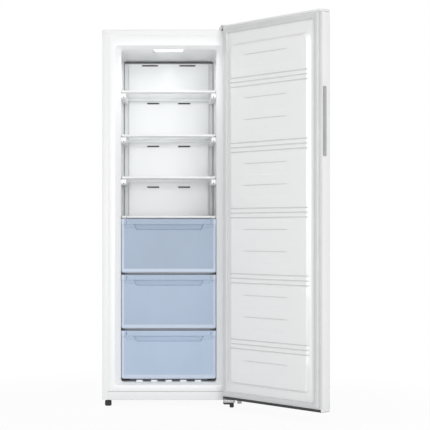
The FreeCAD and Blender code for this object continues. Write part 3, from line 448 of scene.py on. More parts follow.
rail_left, rail_right, rail_front, rail_back, rail_low, rail_top = sides_of("front_rail")
rail_gap = 1
path = [(rail_front, rail_top - rail_gap), (rail_front, rail_low), (rail_back, rail_low)]
rail = Shape().prism("x", bent(path, steel, bend), rail_left + seam, rail_right - seam)
foot_across, foot_deep = [sum(sides_of("foot_left")[start:start + 2]) / 2 for start in (0, 2)]
rail_hole = Shape().turned("z", [(4.05, -5), (4.05, rail_low + 10)], foot_across, foot_deep)
fitted(solid("front_rail_sheet", rail, cutter=rail_hole), powder, "cabinet", "case_paint", "front_rail")

# ---- Back panel, base plate and bulkhead ----------------------------------------------------
# Plain galvanised sheet, screwed inside the folds of the case. The back panel has shallow pressed
# ribs that stiffen it, and the zinc shows its crystals.
zinc = Finish("galvanised_sheet", {"Metallic": 0.9})
crystals = zinc.node("ShaderNodeTexVoronoi", {}, {"Vector": zinc.place, "Scale": 75.0}, "Color")
facet = zinc.node("ShaderNodeSeparateColor", {}, {0: crystals}, 0)
spangle = zinc.blend((0.50, 0.51, 0.53), (0.70, 0.71, 0.72), facet)
tarnished = zinc.blend(spangle, (0.42, 0.43, 0.44), zinc.noise(7, 4) * 0.35)
zinc_gloss = facet * 0.16 + zinc.noise(300, 2) * 0.08 + 0.33
zinc.surface(tarnished, zinc_gloss, facet * 0.4 + zinc.noise(420, 2), 0.00008, 0.4)


def dressed(finish, *names):
    """Gives the finish to CAD nodes that keep their own shape."""
    for name in names:
        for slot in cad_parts[name].material_slots:
            slot.material = finish.material


def eased(value, low, high):
    """0 below low, 1 above high, and a smooth rise between."""
    share = min(max((value - low) / (high - low), 0), 1)
    return share * share * (3 - 2 * share)


back_left, back_right, *_, back_low, back_high = sides_of("back_panel")
rib_half = 225
ribs = [back_low + (back_high - back_low) * share for share in (0.2, 0.4, 0.6, 0.8)]


def pressed(x, z, deep):
    reach = min(abs(z - rib) for rib in ribs)
    return deep + 0.5 * (1 - eased(reach, 4, 9)) * (1 - eased(abs(x), rib_half - 10, rib_half + 10))


rib_ends = [side * (rib_half + step) for side in (-1, 1) for step in (-12, -6, 0, 6, 11, 12)]
rib_flanks = [rib + side * step for rib in ribs for side in (-1, 1) for step in (4, 6, 8, 10)]
sheet = Shape().moulded(
    [(back_left, back_right, back_low, back_high, 0, case_back - 0.6)],
    sorted({back_left, back_right, 0, *rib_ends}), sorted({back_low, back_high, *rib_flanks}),
    pressed, placed=lambda x, z, deep: (-x, deep, z),
)
fitted(solid("back_sheet", sheet, wall=0.7), zinc, "cabinet", "zinc_sheet", "back_panel")
dressed(zinc, "base_plate", "machine_bulkhead")

# ---- Insulation foam ------------------------------------------------------------------------
# Cream polyurethane, foamed in place between the case and the liner and between the door's skin
# and its liner. It glues the walls together, and shows only over the front rail, as a dark line of
# painted shadow in the joint.
foam = Finish("polyurethane_foam", {})
cells = foam.node("ShaderNodeTexVoronoi", {}, {"Vector": foam.place, "Scale": 520.0}, "Distance")
cream = foam.blend((0.86, 0.80, 0.60), (0.76, 0.66, 0.42), foam.noise(14, 4))
# Painted shadow: the foam's front skin over the front rail is darkened to a grey line, for the shade in the
# joint.
joint_painted_shadow = foam.span(foam.along(1), 0.004, 0.0015) * foam.span(foam.along(2), 0.080, 0.070)
foam_shade = foam.blend(cream, (0.16, 0.16, 0.16), joint_painted_shadow)
foam.surface(foam_shade, 0.93, cells + foam.noise(90, 3), 0.0008, 0.7)
dressed(foam, "insulation_foam", "door_foam")

# ---- Inner liner ----------------------------------------------------------------------------
# One vacuum-formed sheet of white polystyrene: a flat frame clipped into the steel folds, a splayed
# mouth, and a box with soft corners and a step over the machine bay. Five low ribs cross its floor.
plastic = Finish("liner_polystyrene", {"IOR": 1.5, "Coat Weight": 0.15, "Coat Roughness": 0.12})
liner_shade = plastic.blend((0.900, 0.912, 0.916), (0.925, 0.932, 0.934), plastic.noise(4, 2, (1, 1, 0.35)))
liner_grain = plastic.noise(900, 1) * 0.25 + plastic.noise(18, 1.5)
plastic.surface(liner_shade, plastic.noise(60, 3) * 0.12 + 0.27, liner_grain, 0.0006, 0.16)

liner_left, liner_right, _, liner_back, liner_low, liner_high = sides_of("inner_liner")
bay_half = sides_of("shelf_rails")[1]
bay_high = sides_of("lamp_lens")[5]
bay_back = liner_back - 2
bay_low = 105
bay = (-bay_half, bay_half, bay_low, bay_high)
mouth = (-242.5, 242.5, 92, 1619)
throat = 27.5
corner = 12
step_top = 297
step_front = 290
frame_edge = (liner_left, liner_right, liner_low, liner_high)


def stepped(x, z, deep):
    """The liner's depth, held back over the machine bay with a round nose and a round foot."""
    if z <= step_top - corner:
        limit = step_front
    elif z <= step_top:
        limit = step_front + corner - math.sqrt(corner ** 2 - (z - step_top + corner) ** 2)
    elif z < step_top + corner:
        limit = bay_back - corner + math.sqrt(corner ** 2 - (step_top + corner - z) ** 2)
    else:
        limit = bay_back
    return min(deep, limit)


def drawn_in(box, profile):
    """Loops of a moulding: the box drawn in by each (inset, corner radius, depth) of the profile."""
    left, right, low, high = box
    return [
        (left + inset, right - inset, low + inset, high - inset, radius, deep)
        for inset, radius, deep in profile
    ]


def flared(deep, radius, inset=0.0):
    """The splay's outline at a depth, between the mouth and the throat."""
    share = deep / throat
    box = [start + (end - start) * share for start, end in zip(mouth, bay)]
    return drawn_in(box, [(inset, radius, deep)])[0]


loops = drawn_in(frame_edge, [(-1.5, 2, 1.9), (-0.1, 2, 1.7), (0.4, 2, 1.1), (1.2, 2, 0.7)])
loops += [flared(0.7, 15, -1.24), flared(0.93, 14.6, -0.32), flared(1.58, 14.2)]
loops += [flared(throat - 1.7, 12.6), flared(throat, corner, -0.3)]
loops += drawn_in(bay, [(0, corner, deep) for deep in (throat + 1.7, 200, step_front, bay_back - corner)])
for turn in (22.5, 45, 67.5, 90):
    inset = corner * (1 - math.cos(math.radians(turn)))
    loops += drawn_in(bay, [(inset, corner - inset, bay_back - corner * (1 - math.sin(math.radians(turn))))])
nose = [step_top - corner + corner * math.sin(math.radians(turn)) for turn in (0, 22.5, 45, 67.5, 85)]
foot = [step_top + corner * (1 - math.cos(math.radians(turn))) for turn in (22.5, 45, 67.5, 90)]
walls = [bay_low + corner, 150, 200, 600, 1000, 1400, bay_high - corner]
stations = sorted({*nose, step_top, step_top + 0.02, *foot, *walls})
liner = Shape().moulded(loops, spaced(-bay_half + corner, bay_half - corner, 6), stations, stepped)
fitted(solid("formed_liner", liner, wall=1.8), plastic, "cabinet", "liner_plastic", "inner_liner", smooth=40)


def node_tree(name, sizes):
    """An empty tree of Geometry Nodes with the named inputs, and a way to add nodes to it."""
    tree = bpy.data.node_groups.new(name, "GeometryNodeTree")
    tree.interface.new_socket("Geometry", in_out="INPUT", socket_type="NodeSocketGeometry")
    for title, kind in sizes.items():
        tree.interface.new_socket(title, in_out="INPUT", socket_type="NodeSocket" + kind)
    tree.interface.new_socket("Geometry", in_out="OUTPUT", socket_type="NodeSocketGeometry")
    given = tree.nodes.new("NodeGroupInput").outputs

    def add(kind, settings, links):
        made = tree.nodes.new(kind)
        for title, value in settings.items():
            setattr(made, title, value)
        for title, source in links.items():
            if isinstance(source, (int, float, tuple)):
                made.inputs[title].default_value = source
            else:
                tree.links.new(source, made.inputs[title])
        return made.outputs[0]

    return tree, given, add


def finished_tree(tree, given, add, geometry):
    whole = add("GeometryNodeRealizeInstances", {}, {"Geometry": geometry})
    paint = add("GeometryNodeSetMaterial", {}, {"Geometry": whole, "Material": given["Finish"]})
    tree.links.new(paint, tree.nodes.new("NodeGroupOutput").inputs[0])
    return tree


rows, given, add = node_tree("rows of like parts", {
    "Count": "Int", "Step": "Vector", "Rows": "Int", "Row Step": "Vector", "Finish": "Material"})
line = add("GeometryNodeMeshLine", {"mode": "OFFSET"}, {"Count": given["Count"], "Offset": given["Step"]})
row = add("GeometryNodeInstanceOnPoints", {}, {"Points": line, "Instance": given["Geometry"]})
ladder = add("GeometryNodeMeshLine", {"mode": "OFFSET"}, {"Count": given["Rows"], "Offset": given["Row Step"]})
grid = add("GeometryNodeInstanceOnPoints", {}, {"Points": ladder, "Instance": row})
finished_tree(rows, given, add, grid)

circle, given, add = node_tree("parts round an axis", {
    "Count": "Int", "Axis": "Vector", "Centre": "Vector", "Finish": "Material"})
spots = add("GeometryNodePoints", {}, {"Count": given["Count"], "Position": given["Centre"]})
number = add("GeometryNodeInputIndex", {}, {})
part = add("ShaderNodeMath", {"operation": "DIVIDE"}, {0: math.tau, 1: given["Count"]})
angle = add("ShaderNodeMath", {"operation": "MULTIPLY"}, {0: number, 1: part})
rotation = add("FunctionNodeAxisAngleToRotation", {}, {"Axis": given["Axis"], "Angle": angle})
wreath = add("GeometryNodeInstanceOnPoints", {}, {
    "Points": spots, "Instance": given["Geometry"], "Rotation": rotation})
finished_tree(circle, given, add, wreath)


def repeated(item, tree, finish, **sizes):
    """Repeats a shape through a tree of Geometry Nodes and keeps the result as a plain mesh."""
    sizes = {"Rows": 1, "Row_Step": (0, 0, 0), "Finish": finish.material, **sizes}
    made = item.modifiers.new("repeat", "NODES")
    made.node_group = tree
    for socket in tree.interface.items_tree:
        title = socket.name.replace(" ", "_")
        if socket.in_out == "INPUT" and title in sizes:
            made[socket.identifier] = sizes[title]
    return settled(item)


rib = Shape().block(-15.5, 15.5, 35.5, 284, bay_low - 1, bay_low + 7, "z", 6)
rib = solid("floor_ribs", rib, 2.5)
rib.data.transform(Matrix.Translation((-0.132, 0, 0)))
repeated(rib, rows, plastic, Count=5, Step=(0.066, 0, 0))
fitted(rib, plastic, "cabinet", "liner_plastic")

# ---- Shelf rails ----------------------------------------------------------------------------
# Ledges moulded out of the liner's side walls, one pair under each shelf and a shallower pair
# under each glass plate of the drawers. A small black disc on the front end of each deep ledge is
# painted shade, standing in for the shadow at that spot.
shelf_names = [f"shelf_frame_{number}" for number in (1, 2, 3, 4)]
plate_names = [f"drawer_shelf_{number}" for number in (1, 2)]
ledges = Shape()
shade_plugs = Shape()
for name in shelf_names + plate_names:
    under_shelf = name in shelf_names
    high = sides_of(name)[4] - 0.5
    low = high - (24.5 if under_shelf else 12)
    rear_low = low + (9 if under_shelf else 4)
    outline = rounded([(46, low, 9), (284, low, 4), (296, rear_low, 4), (400, rear_low, 5),
                       (400, high, 1.5), (46, high, 2.5)], 2, 5)
    for side in (-1, 1):
        near, far = sorted((side * 193, side * (bay_half + 0.5)))
        ledges.prism("x", outline, near, far)
        if under_shelf:
            # Painted shade: a black disc where the ledge's front end shows a dark spot.
            shade_plugs.turned("y", [(0.01, 44.8), (1.8, 44.8), (2.6, 45.4), (2.6, 47)], side * 203, low + 6.5, 16)
fitted(solid("wall_ledges", ledges, 1.6, 3), plastic, "cabinet", "liner_plastic", "shelf_rails")

black = Finish("black_abs", {"IOR": 1.5})
black_shade = black.blend((0.018, 0.018, 0.020), (0.040, 0.040, 0.043), black.noise(40, 4))
black.surface(black_shade, black.noise(500, 2) * 0.2 + 0.40, black.noise(1500, 2), 0.00012, 0.6)
fitted(solid("ledge_plugs", shade_plugs), black, "cabinet", "trim_black")

# ---- Back wall cover ------------------------------------------------------------------------
# A dished sheet of the liner's plastic in front of the evaporator. Cold air leaves by four pairs of
# slots, each with a turned lip and a dark duct behind it, and comes back by the row at its foot.
cover_left, cover_right, cover_face, cover_back, cover_low, cover_high = sides_of("evaporator_cover")
slots = [(51, 129, cover_high - 11)]
slots += [(45, 104, sides_of(name)[5] - drop) for name, drop in zip(shelf_names, (23, 30, 36))]
plane = (cover_left, cover_right, cover_low, cover_high)
loops = drawn_in(plane, [(0, 1, cover_back), (0, 1, cover_back - 2.4), (0.8, 1, cover_back - 3)])
for half, inset, radius, deep in (
    (201, 0.8, 1, cover_back - 3), (196.5, 0.8, 3, cover_back - 3.6), (195, 0.9, 4, cover_back - 5.5),
    (194.3, 1, 5, cover_face + 3), (193.2, 1.6, 6, cover_face + 1), (191, 3, 6, cover_face),
    (185, 9, 0, cover_face),
):
    loops.append((-half, half, cover_low + inset, cover_high - inset, radius, deep))
cover = Shape().moulded(loops, spaced(-185, 185, 8), spaced(cover_low + 9, cover_high - 9, 12))
holes = Shape()
lips = Shape()
ducts = Shape()
through = (cover_face - 5, cover_back + 5)
behind = (cover_face + 3.2, cover_back + 4)
for near, far, middle in slots:
    for side in (-1, 1):
        left, right = sorted((side * near, side * far))
        holes.block(left, right, *through, middle - 3.6, middle + 3.6, "y", 3.5, 6)
        ducts.block(left - 3, right + 3, *behind, middle - 9, middle + 9, "x", 3)
        lip = rounded([(0.6, 0), (0, -1.8), (-2.2, -2.4), (-2.6, -1.6), (-0.6, -0.6), (-0.4, 0.4)], 0.5)
        lip = [(cover_face + deep, middle - 3.4 + up) for deep, up in lip]
        lips.prism("x", lip, left + 2, right - 2)
return_high = cover_low + 23
for index in range(-4, 5):
    middle = index * 36
    holes.block(middle - 13, middle + 13, *through, return_high - 4, return_high + 4, "y", 3.8, 6)
ducts.block(-165, 165, *behind, return_high - 11, return_high + 11, "x", 3)
sheet = solid("air_cover", cover, wall=2.2, cutter=holes)
fitted(sheet, plastic, "cabinet", "liner_plastic", "evaporator_cover", smooth=40)
fitted(solid("slot_lips", lips, 0.2), plastic, "cabinet", "liner_plastic")
duct_foam = Finish("duct_foam", {})
duct_shade = duct_foam.blend((0.055, 0.060, 0.062), (0.10, 0.105, 0.11), duct_foam.noise(200, 3))
duct_foam.surface(duct_shade, 0.95, duct_foam.noise(800, 2), 0.0005)
fitted(solid("air_ducts", ducts, 1), duct_foam, "cabinet", "trim_black")

# ---- Evaporator, heater and fan -------------------------------------------------------------
# Behind the cover a bent aluminium tube runs through a stack of thin fins, with the defrost heater
# under them and a small axial fan above. None of it shows from outside.
aluminium = Finish("mill_aluminium", {"Metallic": 1.0})
streak = aluminium.noise(160, 3, (1, 1, 0.06))
mill_shade = aluminium.blend((0.70, 0.71, 0.72), (0.86, 0.87, 0.88), streak)
aluminium.surface(mill_shade, streak * 0.18 + 0.26, streak, 0.00006, 0.5)
dressed(aluminium, "evaporator_tube", "defrost_heater")
fin = solid("fin_stack", Shape().block(-120.2, -119.9, *sides_of("evaporator_fins")[2:], "x", 3, 3))
repeated(fin, rows, aluminium, Count=31, Step=(0.008, 0, 0))
fitted(fin, aluminium, "cabinet", "fin_aluminium", "evaporator_fins")

white_trim = Finish("white_abs", {"IOR": 1.5})
trim_shade = white_trim.blend((0.845, 0.855, 0.862), (0.885, 0.890, 0.892), white_trim.noise(9, 3))
white_trim.surface(trim_shade, white_trim.noise(350, 2) * 0.14 + 0.34, white_trim.noise(1300, 2), 0.00008, 0.5)
dressed(white_trim, "fan_housing", "fan_rotor", "drain_tube", "hinge_bushes")

# ---- Ceiling lamp ---------------------------------------------------------------------------
# A shallow frosted lens, clipped into the liner's ceiling behind the mouth, with fine prisms across
# it and a small board of light diodes above.
lens_left, lens_right, lens_front, lens_back, lens_low, lens_high = sides_of("lamp_lens")
frosted = Finish("frosted_lens", {"Emission Strength": 1.0, "Coat Weight": 0.3})
frost = frosted.blend((0.86, 0.88, 0.89), (0.93, 0.94, 0.95), frosted.noise(700, 2))
bright = frosted.span(frosted.off_centre(), 0.070, 0.056) * frosted.span(frosted.along(1), 0.037, 0.034)
frosted.feed(frosted.shader, {"Emission Color": frosted.blend((0.05, 0.05, 0.05), (1.1, 1.12, 1.14), bright)})
frosted.surface(frost, 0.45, frosted.noise(500, 2), 0.0002, 0.5)
prism_inset = 14


def prisms(x, z, deep):
    ribbed = 1 - eased(abs(x), lens_right - prism_inset - 2, lens_right - prism_inset)
    return deep + 0.35 * ribbed * abs((x / 4) % 1 - 0.5)


lens = Shape().moulded(
    drawn_in((lens_left, lens_right, -lens_back, -lens_front), [
        (0, 5, lens_high), (0, 5, lens_high - 1.2), (1.2, 5, lens_high - 2), (6.5, 6, lens_low + 2.2),
        (8.5, 6, lens_low + 0.7), (11, 6, lens_low + 0.4), (prism_inset, 0, lens_low + 0.4)]),
    spaced(lens_left + prism_inset, lens_right - prism_inset, 58),
    spaced(prism_inset - lens_back, -prism_inset - lens_front, 2),
    prisms, placed=lambda x, z, deep: (x, -z, deep),
)
fitted(solid("lamp_cover", lens, wall=1.2), frosted, "cabinet", "lens", "lamp_lens", smooth=20)
board = Finish("circuit_board", {})
copper_line = board.node("ShaderNodeTexWave", {}, {"Vector": board.place, "Scale": 120.0, "Distortion": 3.0})
solder_mask = board.blend((0.02, 0.16, 0.06), (0.05, 0.26, 0.10), copper_line)
board.surface(solder_mask, 0.4, copper_line, 0.0002, 0.5)
dressed(board, "lamp_board")

# ---- Machine bay ----------------------------------------------------------------------------
# The compressor on rubber mounts, the bent condenser tube, the meltwater tray and copper pipes, all
# behind the liner's step. A louvred steel cover is screwed over the bay at the back.
enamel = Finish("black_enamel", {"IOR": 1.5, "Coat Weight": 0.25, "Coat Roughness": 0.15})
dust = enamel.noise(30, 5)
dusty = enamel.blend((0.022, 0.022, 0.024), (0.060, 0.058, 0.055), dust)
enamel.surface(dusty, dust * 0.25 + 0.30, enamel.noise(260, 2), 0.0002, 0.5)
rubber = Finish("black_rubber", {"IOR": 1.45})
bloom = rubber.noise(35, 4)
bloomed = rubber.blend((0.016, 0.016, 0.017), (0.055, 0.055, 0.058), bloom)
rubber.surface(bloomed, bloom * 0.2 + 0.62, rubber.noise(900, 2), 0.0002, 0.6)
copper = Finish("copper_tube", {"Metallic": 1.0})
patina = copper.noise(22, 5)
browned = copper.blend((0.72, 0.36, 0.21), (0.42, 0.22, 0.14), patina)
copper.surface(browned, patina * 0.3 + 0.22, copper.noise(420, 2), 0.0001, 0.5)
dressed(enamel, "compressor", "condenser_coil", "fan_motor")
dressed(rubber, "compressor_mounts")
dressed(copper, "refrigerant_pipes")
dressed(black, "drip_tray")

louvre_low = 68.6
louvre_pitch = 18
louvre_count = 8
louvre_half = 200
cover_plate = Shape().block(*sides_of("machine_cover"), "y", 3)
vents = Shape()
for index in range(louvre_count):
    low = louvre_low + index * louvre_pitch
    vents.block(-louvre_half, louvre_half, 570, 600, low, low + 7, "y", 3.4)
fitted(solid("bay_cover", cover_plate, 0.25, 1, cutter=vents), powder, "cabinet", "case_paint", "machine_cover")
hood = bent([(585.7, 78.4), (588.4, 76.2), (589.3, 69.6)], -0.7, 2)
hood = Shape().prism("x", hood, -louvre_half - 0.6, louvre_half + 0.6)
for edge in (-louvre_half - 1, louvre_half + 0.4):
    hood.prism("x", [(585.7, 78), (588.3, 76), (589.1, 69.8), (585.7, 69.8)], edge, edge + 0.6)
hood = solid("bay_louvres", hood, 0.15, 1)
repeated(hood, rows, powder, Count=1, Step=(0, 0, 0), Rows=louvre_count, Row_Step=(0, 0, louvre_pitch * 0.001))
fitted(hood, powder, "cabinet", "case_paint")


def cross(far, near):
    """The outline of a screw's cross recess, from its reach and half the width of its slots."""
    arm = [(near, far), (near, near), (far, near), (far, -near), (near, -near), (near, -far)]
    return arm + [(-across, -up) for across, up in arm]


plated = Finish("plated_steel", {"Metallic": 1.0})
brushed = plated.noise(90, 4, (1, 1, 0.2))
plated_shade = plated.blend((0.29, 0.29, 0.30), (0.44, 0.44, 0.45), brushed)
plated.surface(plated_shade, brushed * 0.2 + 0.30, plated.noise(700, 2), 0.00006, 0.5)
head = Shape().turned("z", [(2.4, -3), (2.4, 0), (4, 0), (4, 0.9), (3.2, 1.9), (2, 2.2)], 0, 0, 20)
recess = Shape().prism("z", cross(2.1, 0.45), 1.1, 4)
screws = solid("bay_screws", head, cutter=recess, turn=Matrix.Rotation(math.radians(-90), 4, "X"))
screws.data.transform(Matrix.Translation((-0.272, case_back * 0.001, 0.036)))
repeated(screws, rows, plated, Count=3, Step=(0.272, 0, 0), Rows=2, Row_Step=(0, 0, 0.212))
fitted(screws, plated, "cabinet", "screw_steel")
gland = Shape().turned("y", [(8.6, 568), (8.6, 586), (13, 586), (13, 587.8), (12.2, 588.8), (9.6, 589),
                             (8.4, 588.2), (6.4, 587.4), (5.4, 580)], -240, 80, 36)
fitted(solid("cable_gland", gland), black, "cabinet", "trim_black", "power_inlet")

# ---- Shelves --------------------------------------------------------------------------------
# Four plates of clear toughened glass, each laid in a white moulded frame with a thin rounded nose
# at the front. They slide out on the liner's ledges.
glass = Finish("clear_glass", {"IOR": 1.45})
smear = glass.noise(9, 3)
mirror = glass.node("ShaderNodeFresnel", {}, {"IOR": 1.45})
glass.feed(glass.shader, {"Alpha": mirror * 0.25 + smear * 0.02 + 0.02})
glass.surface(glass.blend((0.78, 0.84, 0.83), (0.86, 0.90, 0.89), smear), 0.08, smear, 0.0001, 0.3)
section = [(0, -1.5), (0.4, -0.5), (1.5, 0), (6.3, 0), (6.9, -0.4), (6.9, -4.55), (12.4, -4.55), (13, -5.1)]
section += [(13, -12.4), (12.4, -13), (1, -13), (0, -12)]


def flat(across, deep, up):
    return across, deep, up


for number, name in enumerate(shelf_names, 1):
    left, right, front, back, low, top = sides_of(name)
    profile = [(inset, max(3 - inset, 0.6), top + rise) for inset, rise in section]
    rim = Shape().hoop(
        drawn_in((left, right, front, back), profile), 4, flat,
        lambda x, y, level: level + 4 if level < low + 2 and y < front + 11.6 else level,
        (0, 0.0255, 0.0256, 1),
    )
    body = f"shelf_{number}"
    fitted(solid(name + "_rim", rim), white_trim, body, "trim_white", name)
    plate = f"shelf_glass_{number}"
    pane = solid(f"shelf_pane_{number}", Shape().block(*sides_of(plate), "z", 3), 0.4)
    fitted(pane, glass, body, "clear_glass", plate)
pips = Shape()
for side in (-1, 1):
    pips.turned("y", [(1.6, front - 0.3), (1.9, front + 0.2), (1.9, front + 2)], side * 190.5, top - 6, 16)
fitted(solid("shelf_pips", pips), black, body, "trim_black")

# ---- Glass plates between the drawers -------------------------------------------------------
# A clear plate lies on the shallow ledges over each lower drawer. A smoked channel is pressed on its
# front and rear edges, with a black pad at each end of the front one.
smoked = Finish("smoked_strip", {"IOR": 1.5})
smoked_shade = smoked.blend((0.15, 0.157, 0.17), (0.21, 0.217, 0.23), smoked.noise(24, 3))
smoked.surface(smoked_shade, smoked.noise(400, 2) * 0.15 + 0.3, smoked.noise(1100, 2), 0.0001, 0.5)
for number, name in enumerate(plate_names, 1):
    left, right, front, back, low, top = sides_of(name)
    body = f"lower_glass_{number}"
    pane = Shape().block(left, right, front + 2, back - 1.5, top - 6, top - 0.2, "z", 3)
    fitted(solid(name + "_pane", pane, 0.5), glass, body, "clear_glass", name)
    edges = Shape()
    for near, far, thick in ((front, front + 9, 1.2), (back, back - 9, -1.2)):
        channel = bent([(far, top), (near, top), (near, low), (far, low)], thick, 1)
        edges.prism("x", channel, left + 0.5, right - 0.5)
    fitted(solid(name + "_strips", edges, 0.2), smoked, body, "trim_black")
    pads = Shape()
    for side in (-1, 1):
        near, far = sorted((side * 197, side * 213.8))
        pads.block(near, far, front - 0.5, front + 9.5, low + 0.3, top + 0.2, "y", 1.5)
        stud = [(2.4, front - 0.6), (2.9, front - 0.1), (2.9, front + 3)]
        pads.turned("y", stud, side * 190.5, (low + top) / 2, 20)
    fitted(solid(name + "_pads", pads, 0.3), black, body, "trim_black")

# ---- Drawers --------------------------------------------------------------------------------
# Injection-moulded in one shot of blue-tinted clear plastic: a front with bevelled sides, a hooked
# lip across its top with a grip hollow under it, and an open bin behind.
lip_high = 24.5
step_high = 38.5
grip_high = 47.5
bin_half = 188


def gripped(x, z, deep, top, face):
    """The front's depth: stepped back under the lip, with the slanted grip hollow."""
    line = top - step_high + min(max((abs(x) - 191) / 13, 0), 1) * 13
    deep = max(deep, face + 3 * eased(z, line - 0.8, line + 0.8))
    reach = 145 + 12 * min(max((z - top + grip_high) / (grip_high - lip_high), 0), 1)
    hollow = eased(z, top - grip_high - 0.8, top - grip_high + 0.8) * (1 - eased(abs(x), reach - 1, reach + 1))
    return max(deep, face + 10 * hollow)


def beaded(x, y, level, floor_level, near, far):
    """The bin's level, with low stiffening beads along its floor."""
    if level > floor_level:
        return level
    inside = eased(y, near, near + 8) * (1 - eased(y, far - 8, far))
    return level + 1.6 * inside * (1 - eased(abs((x + 210) % 60 - 30), 2, 5))


bead_flanks = [middle + step for middle in range(-120, 121, 60) for step in (-5, -3.5, -2, 2, 3.5, 5)]
cap_lows = [sides_of(name)[5] + 1 for name in plate_names] + [bay_low + 14]
for number, cap_low in enumerate(cap_lows, 1):
    name = f"drawer_{number}"
    body = f"sliding_drawer_{number}"
    left, right, lip_front, back, box_low, top = sides_of(name)
    face = lip_front + 2
    rim = top - 30
    tint = Finish("blue_" + name, {"IOR": 1.5, "Specular IOR Level": 0.15})
    # Painted highlight: the bevelled sides and the lower bevel of each drawer front are tinted paler, for the
    # light they catch.
    foot = tint.span(tint.along(2), cap_low * 0.001 + 0.020, cap_low * 0.001 + 0.016)
    side_bevel_band = tint.span(tint.off_centre(), 0.2005, 0.2030)
    painted_bevel_highlight = tint.node("ShaderNodeMath", {"operation": "MAXIMUM"}, {0: side_bevel_band, 1: foot})
    flow = tint.noise(5, 3, (1, 1, 0.4))
    paler = 1 + 0.10 * (number - 1)
    shades = [tuple(value * paler for value in shade) for shade in ((0.42, 0.51, 0.64), (0.47, 0.565, 0.70))]
    tint.feed(tint.shader, {"Alpha": flow * 0.06 + 0.82})
    tint_with_bevel_highlight = tint.blend(tint.blend(*shades, flow), (0.68, 0.76, 0.89), painted_bevel_highlight)
    tint.surface(tint_with_bevel_highlight, 0.3, tint.noise(600, 2), 0.0001, 0.25)

    bevel = ((0, face + 14), (0, face + 3.6), (0.35, face + 2.6), (1.4, face + 1.9), (8, face + 0.1), (9, face))
    flanks = [50, 100, *spaced(142, 160, 12), 172, 180, *spaced(187, right - 9, 9)]
    levels = {cap_low + 9, cap_low + 60, cap_low + 120, top - 60, *spaced(top - 49, top - 29, 20)}
    cap = Shape().moulded(
        drawn_in((-right, right, cap_low, top - 20), [(inset, 9 - inset, deep) for inset, deep in bevel]),
        sorted({0, *flanks, *[-x for x in flanks]}), sorted(levels),
        lambda x, z, deep: gripped(x, z, deep, top, face),
    )
    fitted(solid(name + "_front", cap, wall=2.4), tint, body, "drawer_blue", name, smooth=38)
    slits = Shape()
    for side in (-1, 1):
        slits.block(side * 190.5 - 1, side * 190.5 + 1, lip_front - 4, face + 6, top - lip_high + 4, top - 6)
    hook = ((0, face + 14), (0, lip_front + 1.2), (0.3, lip_front + 0.5), (1.1, lip_front + 0.1),
            (3, lip_front))
    lip = Shape().moulded(
        drawn_in((left, right, top - lip_high, top), [(inset, 3 - inset, deep) for inset, deep in hook]),
        spaced(left + 3, right - 3, 4), spaced(top - lip_high + 3, top - 3, 2),
    )
    fitted(solid(name + "_lip", lip, wall=2.2, cutter=slits), tint, body, "drawer_blue", smooth=38)
    rear = Shape().block(2.5 - right, right - 2.5, face + 12.4, face + 14, cap_low + 2.5, rim, "y", 7)
    fitted(solid(name + "_backing", rear, 0.4), tint, body, "drawer_blue")

    wall = ((0.3, 13, rim - 1.8), (0.3, 13, rim - 0.4), (0.8, 12.6, rim), (4, 12, rim), (4.8, 12, rim - 0.6),
            (5, 12, rim - 2.5), (7, 12, box_low + 16), (7.8, 11.4, box_low + 9), (10.4, 9, box_low + 4.6),
            (14.5, 5, box_low + 2.6), (19.5, 0, box_low + 2.3))
    near = face + 40
    far = back - 40
    tray = Shape().moulded(
        drawn_in((-bin_half, bin_half, face + 14, back), wall),
        [19.5 - bin_half, *bead_flanks, bin_half - 19.5],
        [face + 33.5, *spaced(near, near + 8, 4), *spaced(far - 8, far, 4), back - 19.5],
        lambda x, y, level: beaded(x, y, level, box_low + 2.5, near, far), placed=flat,
    )
    fitted(solid(name + "_bin", tray, wall=2.2), tint, body, "drawer_blue", smooth=38)

# ---- Hinge brackets -------------------------------------------------------------------------
# Pressed steel: the upper one, painted, is cranked over the door with its pin riveted in, and the
# lower one, zinc plated, carries the door on a washer. Each is held by three screws.
pin_across, pin_deep = [sum(sides_of("foot_right")[start:start + 2]) / 2 for start in (0, 2)]
left, right, front, back, low, top = sides_of("top_hinge_bracket")
left_bow = 14
right_bow = 16
stations = [left_bow * (1 - math.cos(math.radians(turn))) + left for turn in (0, 20, 40, 60, 75, 90)]
stations += [right - right_bow * (1 - math.cos(math.radians(turn))) for turn in (90, 75, 60, 40, 20, 0)]
arm = []
for across in stations:
    bow = left_bow if across < (left + right) / 2 else right_bow
    inset = max(bow - min(across - left, right - across), 0)
    tip = front + bow - math.sqrt(bow ** 2 - inset ** 2)
    path = [(tip, top - 3), (1, top - 3), (1, case_top), (back, case_top)]
    arm.append(level_with("x", bent(path, 3, 1.2), across))
bracket = Shape().loft(arm)
bracket.turned("z", [(5, low), (6, low + 1.3), (6, top - 1)], pin_across, pin_deep, 32)
rivet = [(8.4, top - 0.2), (8, top + 0.7), (6, top + 1.3), (3, top + 1.5)]
bracket.turned("z", rivet, pin_across, pin_deep, 32)
fitted(solid("upper_hinge", bracket, 0.5), powder, "cabinet", "bracket_steel", "top_hinge_bracket")
buffer = rounded([(235.4, 1683.4), (239.6, 1681.6), (246, 1691.8), (242, 1694.6)], 1.6)
fitted(solid("hinge_buffer", Shape().prism("y", buffer, -5, 0.4), 0.6), rubber, "cabinet", "foot_rubber")

left, right, front, back, low, top = sides_of("bottom_hinge_bracket")
plate = Shape().block(left, right, front + 0.5, back, case_foot - 3, case_foot, "z", 6)
plate.block(left, right, front, front + 3, low, case_foot + 7, "y", 3)
hollow_pin = [(9, case_foot), (9, 38.6), (8.2, 39.5), (6, 39.5), (6, top - 1.5), (4.6, top)]
plate.turned("z", hollow_pin, pin_across, pin_deep)
fitted(solid("lower_hinge", plate, 0.5), plated, "cabinet", "bracket_steel", "bottom_hinge_bracket")
guard = rounded([(243, 24), (243, 11, 8), (283, 11), (283, 19), (247, 19, 4), (247, 24)], 1.2, 6)
guard = solid("foot_shield", Shape().prism("y", guard, -35, -31), 0.5)
fitted(guard, black, "cabinet", "trim_black", "foot_guard")

